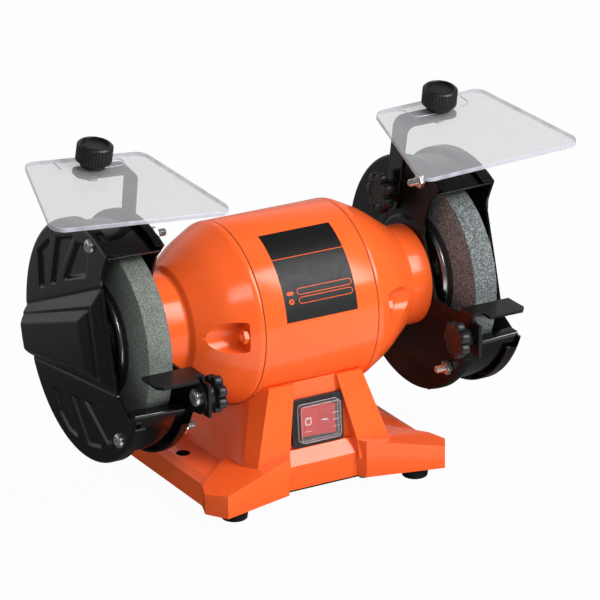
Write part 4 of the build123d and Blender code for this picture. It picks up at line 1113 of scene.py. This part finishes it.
def flute_tree():
    """A ring of half-round ribs about the z axis."""
    sizes = {"Count": "Int", "Radius": "Float", "Rib Radius": "Float", "Rib Length": "Float"}
    tree, given = new_tree("fluted_rim", **sizes, Finish="Material")
    sockets = {"Vertices": given["Count"], "Radius": given["Radius"]}
    circle = add_node(tree, "GeometryNodeMeshCircle", sockets)
    sockets = {"Vertices": 10, "Radius": given["Rib Radius"], "Depth": given["Rib Length"]}
    rib = add_node(tree, "GeometryNodeMeshCylinder", sockets)
    sockets = {"Points": circle.outputs[0], "Instance": rib.outputs["Mesh"]}
    ribs = add_node(tree, "GeometryNodeInstanceOnPoints", sockets)
    close_tree(tree, ribs.outputs[0], given["Finish"])
    return tree


def knob_core():
    """Collar, grip and sunk top of a shield knob, turned about the z axis from the pane up."""
    outline = [
        (0.1, 2.55), (0.1, 7.6), (0.5, 8.0), (2.6, 8.0), (2.9, 9.6), (3.6, 10.5),
        (4.0, 10.75), (13.9, 10.75), (14.7, 10.2), (15.2, 9.2), (15.2, 8.6), (14.9, 8.25),
        (13.6, 8.1), (13.6, 0), (10.3, 0), (10.3, 2.55),
    ]
    bm = lathe(outline, 144, (0, 0))
    bmesh.ops.rotate(bm, verts=bm.verts, cent=(0, 0, 0), matrix=Matrix.Rotation(-math.pi / 2, 3, "Y"))
    return bm


fluted_rim = flute_tree()
values = {
    "Count": 36, "Radius": 10.62 * MM, "Rib Radius": 0.58 * MM, "Rib Length": 9.9 * MM, "Finish": plastic,
}
for side in ("left", "right"):
    foot, axis = joint_line(f"{side}_shield_knob_turn")
    place = Matrix.Translation(foot + axis * PANE_SHEET * MM)
    place = place @ Vector((0, 0, 1)).rotation_difference(axis).to_matrix().to_4x4()
    ribs = grown(fluted_rim, values)
    bmesh.ops.translate(ribs, verts=ribs.verts, vec=(0, 0, 8.95 * MM))
    join(ribs, knob_core())
    bmesh.ops.transform(ribs, matrix=place, verts=ribs.verts)
    node = f"{side}_shield_knob"
    put(f"{side}_fluted_knob", ribs, plastic, f"{side}_shield_grip", [node], 32)


# Switch
# A rocker switch snapped into the front panel: black frame, red rocker, and a clear soft boot with
# thick edges and short ribs that keeps dust out; the edges and ribs are pale beads, their colour a painted
# highlight.

BENCH = -22.0
SWITCH_LEAN = 4.047
SWITCH_HEIGHT = 47.6


def on_panel(right, up, out):
    """A place on the switch's face in millimetres: to the right, up and out of the panel."""
    lean = math.radians(SWITCH_LEAN)
    y = switch_spot[0] + up * math.sin(lean) - out * math.cos(lean)
    z = switch_spot[1] + up * math.cos(lean) + out * math.sin(lean)
    return Vector((right, y, z)) * MM


panel_foot, panel_head = (-48.9, 31.6), (-45.9, 74.0)
share = (SWITCH_HEIGHT - panel_foot[1]) / (panel_head[1] - panel_foot[1])
switch_spot = (panel_foot[0] + share * (panel_head[0] - panel_foot[0]), SWITCH_HEIGHT + BENCH)
recast("switch_frame", "switch_housing", plastic, "stand", 0.5, 3)


def red_plastic():
    """Glossy red plastic, with the two printed signs of the switch's positions."""
    red = Finish("red_plastic", {"Specular IOR Level": 0.5, "Subsurface Weight": 0.15})
    across = red.place.part("X")
    upward = red.place.part("Z") - switch_spot[1] * MM
    out = across + 6.4 * MM
    ring = abs((out * out + upward * upward).root() - 2.1 * MM) < 0.28 * MM
    bar = (abs(across - 4.6 * MM) < 1.9 * MM) * (abs(upward) < 0.42 * MM)
    sign = ring.most(bar)
    ground = red.place.cloud(0.006, 2.0).tint(srgb(204, 26, 24), srgb(214, 34, 30))
    red.feed("Base Color", sign.tint(ground, srgb(238, 236, 232)))
    red.feed("Roughness", red.place.cloud(0.003, 2.0).spread(0.3, 0.7, 0.2, 0.28))
    return red.material


recast("rocker", "switch_rocker", red_plastic(), "rocker", 0.4, 3)
boot_skin = clear_skin(
    "clear_boot", 0.6, (0.004, 2.0), (srgb(150, 140, 142), srgb(164, 154, 156)),
    (0.1, 0.2), (0.3, 0.7, 0.1, 0.15),
)
# Pale, more opaque finish of the boot's edges and ribs: a painted highlight.
boot_bead_highlight = clear_skin(
    "boot_bead_highlight", 0.8, (0.003, 2.0), (srgb(214, 196, 202), srgb(232, 218, 222)),
    (0.12, 0.22), (0.3, 0.7, 0.26, 0.36),
)
recast("boot", "switch_boot", boot_skin, "stand", 0.8, 3)


def boot_beads():
    """Edges of the boot: a loop round its top, one round its foot, four corners and six short ribs."""
    bm = bmesh.new()
    for half_w, half_t, out in ((13.9, 11.75, 7.2), (14.2, 12.05, 2.95)):
        corners = [(-half_w, -half_t), (half_w, -half_t), (half_w, half_t), (-half_w, half_t)]
        loop = rounded(corners, [2.2] * 4, 5)
        bead_along(bm, [on_panel(x, y, out) for x, y in loop], 0.3, True)
    for x in (-13.5, 13.5):
        for y in (-11.35, 11.35):
            bead_along(bm, [on_panel(x, y, 3.0), on_panel(x, y, 7.1)], 0.28, False)
    for x in (-9.6, 10.2):
        for y in (-4.4, 0.0, 4.4):
            bead_along(bm, [on_panel(x - 2.4, y, 7.45), on_panel(x + 2.4, y, 7.45)], 0.22, False)
    bmesh.ops.recalc_face_normals(bm, faces=bm.faces)
    return bm


# The beads carry the boot's painted highlight.
put("boot_edges", boot_beads(), boot_bead_highlight, "stand", (), 40)


# Cord inlet
# A moulded black bush with a tapered nose stands in a hole of the rear panel and guards the hole's
# edge.

dress("cord_gland", plastic)


# Inside the motor and the base
# Laminated cores with taped windings, a stepped shaft on two ball bearings, and below them the run
# capacitor in its strap and the switch's terminals.


def laminations():
    """Stacked steel sheets, their edges showing as fine lines along the shaft."""
    stack = Finish("lamination_steel", {"Metallic": 1.0})
    along = stack.place.part("X")
    lines = along.node("ShaderNodeTexNoise", {"noise_dimensions": "1D"}, {"W": along, "Scale": 2000.0})
    stack.feed("Base Color", lines.spread(0.35, 0.65).tint(srgb(92, 94, 98), srgb(140, 142, 146)))
    stack.feed("Roughness", lines.spread(0.3, 0.7, 0.4, 0.55))
    stack.bump(lines, 0.00005)
    return stack.material


inside = {
    "lamination_steel": laminations(),
    "bright_steel": turned_steel("bright_steel", srgb(182, 182, 186), srgb(214, 214, 216), 0.2),
    "zinc_steel": zinc,
    "black_plastic": plastic,
    "black_rubber": rubber,
}
for name, first, second, rough, shine in (
    ("taped_windings", srgb(208, 198, 172), srgb(228, 220, 198), 0.7, 0.0),
    ("cast_aluminium", srgb(188, 188, 190), srgb(208, 208, 210), 0.42, 1.0),
    ("terminal_brass", srgb(196, 164, 88), srgb(212, 182, 104), 0.3, 1.0),
    ("capacitor_can", srgb(222, 222, 216), srgb(232, 232, 227), 0.4, 0.0),
):
    inside[name] = coated(
        name, {"Metallic": shine}, (0.005, 3.0), (first, second),
        (0.0025, 2.0), (rough - 0.05, rough + 0.05), (0.0008, 2.0, 0.00002), (0.3, 0.7),
    )
hidden_nodes = (
    "stator_core", "rotor_core", "stator_windings", "rotor_end_rings", "shaft", "bearing_outer_rings",
    "bearing_inner_rings", "bearing_balls", "preload_washers", "run_capacitor", "capacitor_strap",
    "switch_terminals",
)
finish_of = {entry["node"]: entry["material_slot"] for entry in frame["record"]["subparts"]}
for node in hidden_nodes:
    dress(node, inside[finish_of[node]])


# Studio
# A pale floor under soft lamps in a white surround, and a camera with a long lens at the photograph's
# standpoint.

scene = bpy.context.scene
scene.view_settings.view_transform = "Standard"

floor_mesh = bmesh.new()
bmesh.ops.create_grid(floor_mesh, x_segments=1, y_segments=1, size=6.0)
bmesh.ops.translate(floor_mesh, verts=floor_mesh.verts, vec=(0, 0, BENCH * MM))
floor = linked("floor", floor_mesh, 35)


def ray_kinds(tree):
    """Wires that tell the camera's rays, rays through clear pieces and mirrored rays."""
    path = tree.nodes.new("ShaderNodeLightPath")
    return [Wire(tree, path.outputs[f"Is {kind} Ray"]) for kind in ("Camera", "Transmission", "Glossy")]


def pale_floor():
    """White sweep: a dull white sheet that the camera sees as a bright backdrop; to mirrored rays it is darker,
    and glows more behind the object, a painted reflection.
    """
    sheet = Finish("pale_floor", {"Roughness": 0.9, "Specular IOR Level": 0.1})
    tree = sheet.material.node_tree
    seen, through, glossy = ray_kinds(tree)
    glow = tree.nodes.new("ShaderNodeEmission")
    glow.inputs["Strength"].default_value = 1.0
    blend = tree.nodes.new("ShaderNodeMixShader")
    behind = sheet.place.part("Y").spread(0.2, 0.9, 0.0, 0.42)
    share = (seen.most(through) * 0.97).most(glossy * behind)
    sheet.feed("Base Color", glossy.spread(0.0, 1.0, 0.45, 0.1))
    tree.links.new(share.socket, blend.inputs[0])
    tree.links.new(sheet.shader.outputs[0], blend.inputs[1])
    tree.links.new(glow.outputs[0], blend.inputs[2])
    tree.links.new(blend.outputs[0], tree.nodes["Material Output"].inputs[0])
    return sheet.material


floor.data.materials.append(pale_floor())

world = bpy.data.worlds.new("studio")
scene.world = world
world.use_nodes = True
tree = world.node_tree
backdrop = tree.nodes["Background"]
backdrop.inputs["Strength"].default_value = 1.0
seen, through, glossy = ray_kinds(tree)
toward = Wire(tree, tree.nodes.new("ShaderNodeTexCoord").outputs["Generated"])
wall = toward.part("Y").spread(-0.2, 0.5, 0.1, 1.0) * toward.part("X").spread(-0.4, 0.2, 1.0, 0.6)
height = toward.part("Z")
wall = wall * height.spread(0.35, 0.75, 1.0, 0.15) * height.spread(0.0, 0.22, 0.35, 1.0)
AMBIENT = 0.3
level = AMBIENT + glossy * (wall - AMBIENT)
white = seen.most(through)
tint = level + white * (1.0 - level)
tree.links.new(tint.socket, backdrop.inputs["Color"])


def softbox(name, place, target, size, power):
    """A rectangular lamp turned to a point of the object."""
    lamp = bpy.data.lights.new(name, "AREA")
    lamp.shape = "RECTANGLE"
    lamp.size, lamp.size_y = size
    lamp.energy = power
    made = bpy.data.objects.new(name, lamp)
    made.location = place
    made.rotation_euler = (Vector(target) - Vector(place)).to_track_quat("-Z", "Y").to_euler()
    scene.collection.objects.link(made)
    return made


softbox("key", (0.859, -1.226, 1.25), (0, 0, 0.08), (0.8, 1.4), 38)
softbox("side", (-1.25, -2.2, 2.0), (0, 0, 0.08), (0.8, 0.9), 16)
softbox("rim", (-1.2, 1.7, 0.42), (0, 0, 0.1), (0.9, 0.7), 6).visible_glossy = False
softbox("top", (0.3, 0.2, 1.8), (0, 0, 0.08), (1.2, 1.0), 8).visible_glossy = False
softbox("card", (0.12, -0.38, -0.0205), (0.12, -0.38, 1.0), (0.7, 0.55), 1.3).visible_camera = False

camera = bpy.data.objects.new("camera", bpy.data.cameras.new("camera"))
scene.collection.objects.link(camera)
scene.camera = camera
PICTURE, FOCAL_PIXELS, SENSOR = 600, 4073, 36.0
camera.data.sensor_width = SENSOR
camera.data.lens = FOCAL_PIXELS / PICTURE * SENSOR
camera.data.clip_end = 50.0
turn, rise, roll = (math.radians(a) for a in (-29.73, 20.78, -0.46))
back = Vector((math.sin(turn) * math.cos(rise), -math.cos(turn) * math.cos(rise), math.sin(rise)))
across = (-back).cross(Vector((0, 0, 1))).normalized()
upward = across.cross(-back)
rightward = across * math.cos(roll) + upward * math.sin(roll)
upright = upward * math.cos(roll) - across * math.sin(roll)
stand_point = Vector((-1163.17, -2066.13, 899.66 + SHAFT)) * MM
rotation = Matrix((rightward, upright, back)).transposed().to_4x4()
camera.matrix_world = Matrix.Translation(stand_point) @ rotation
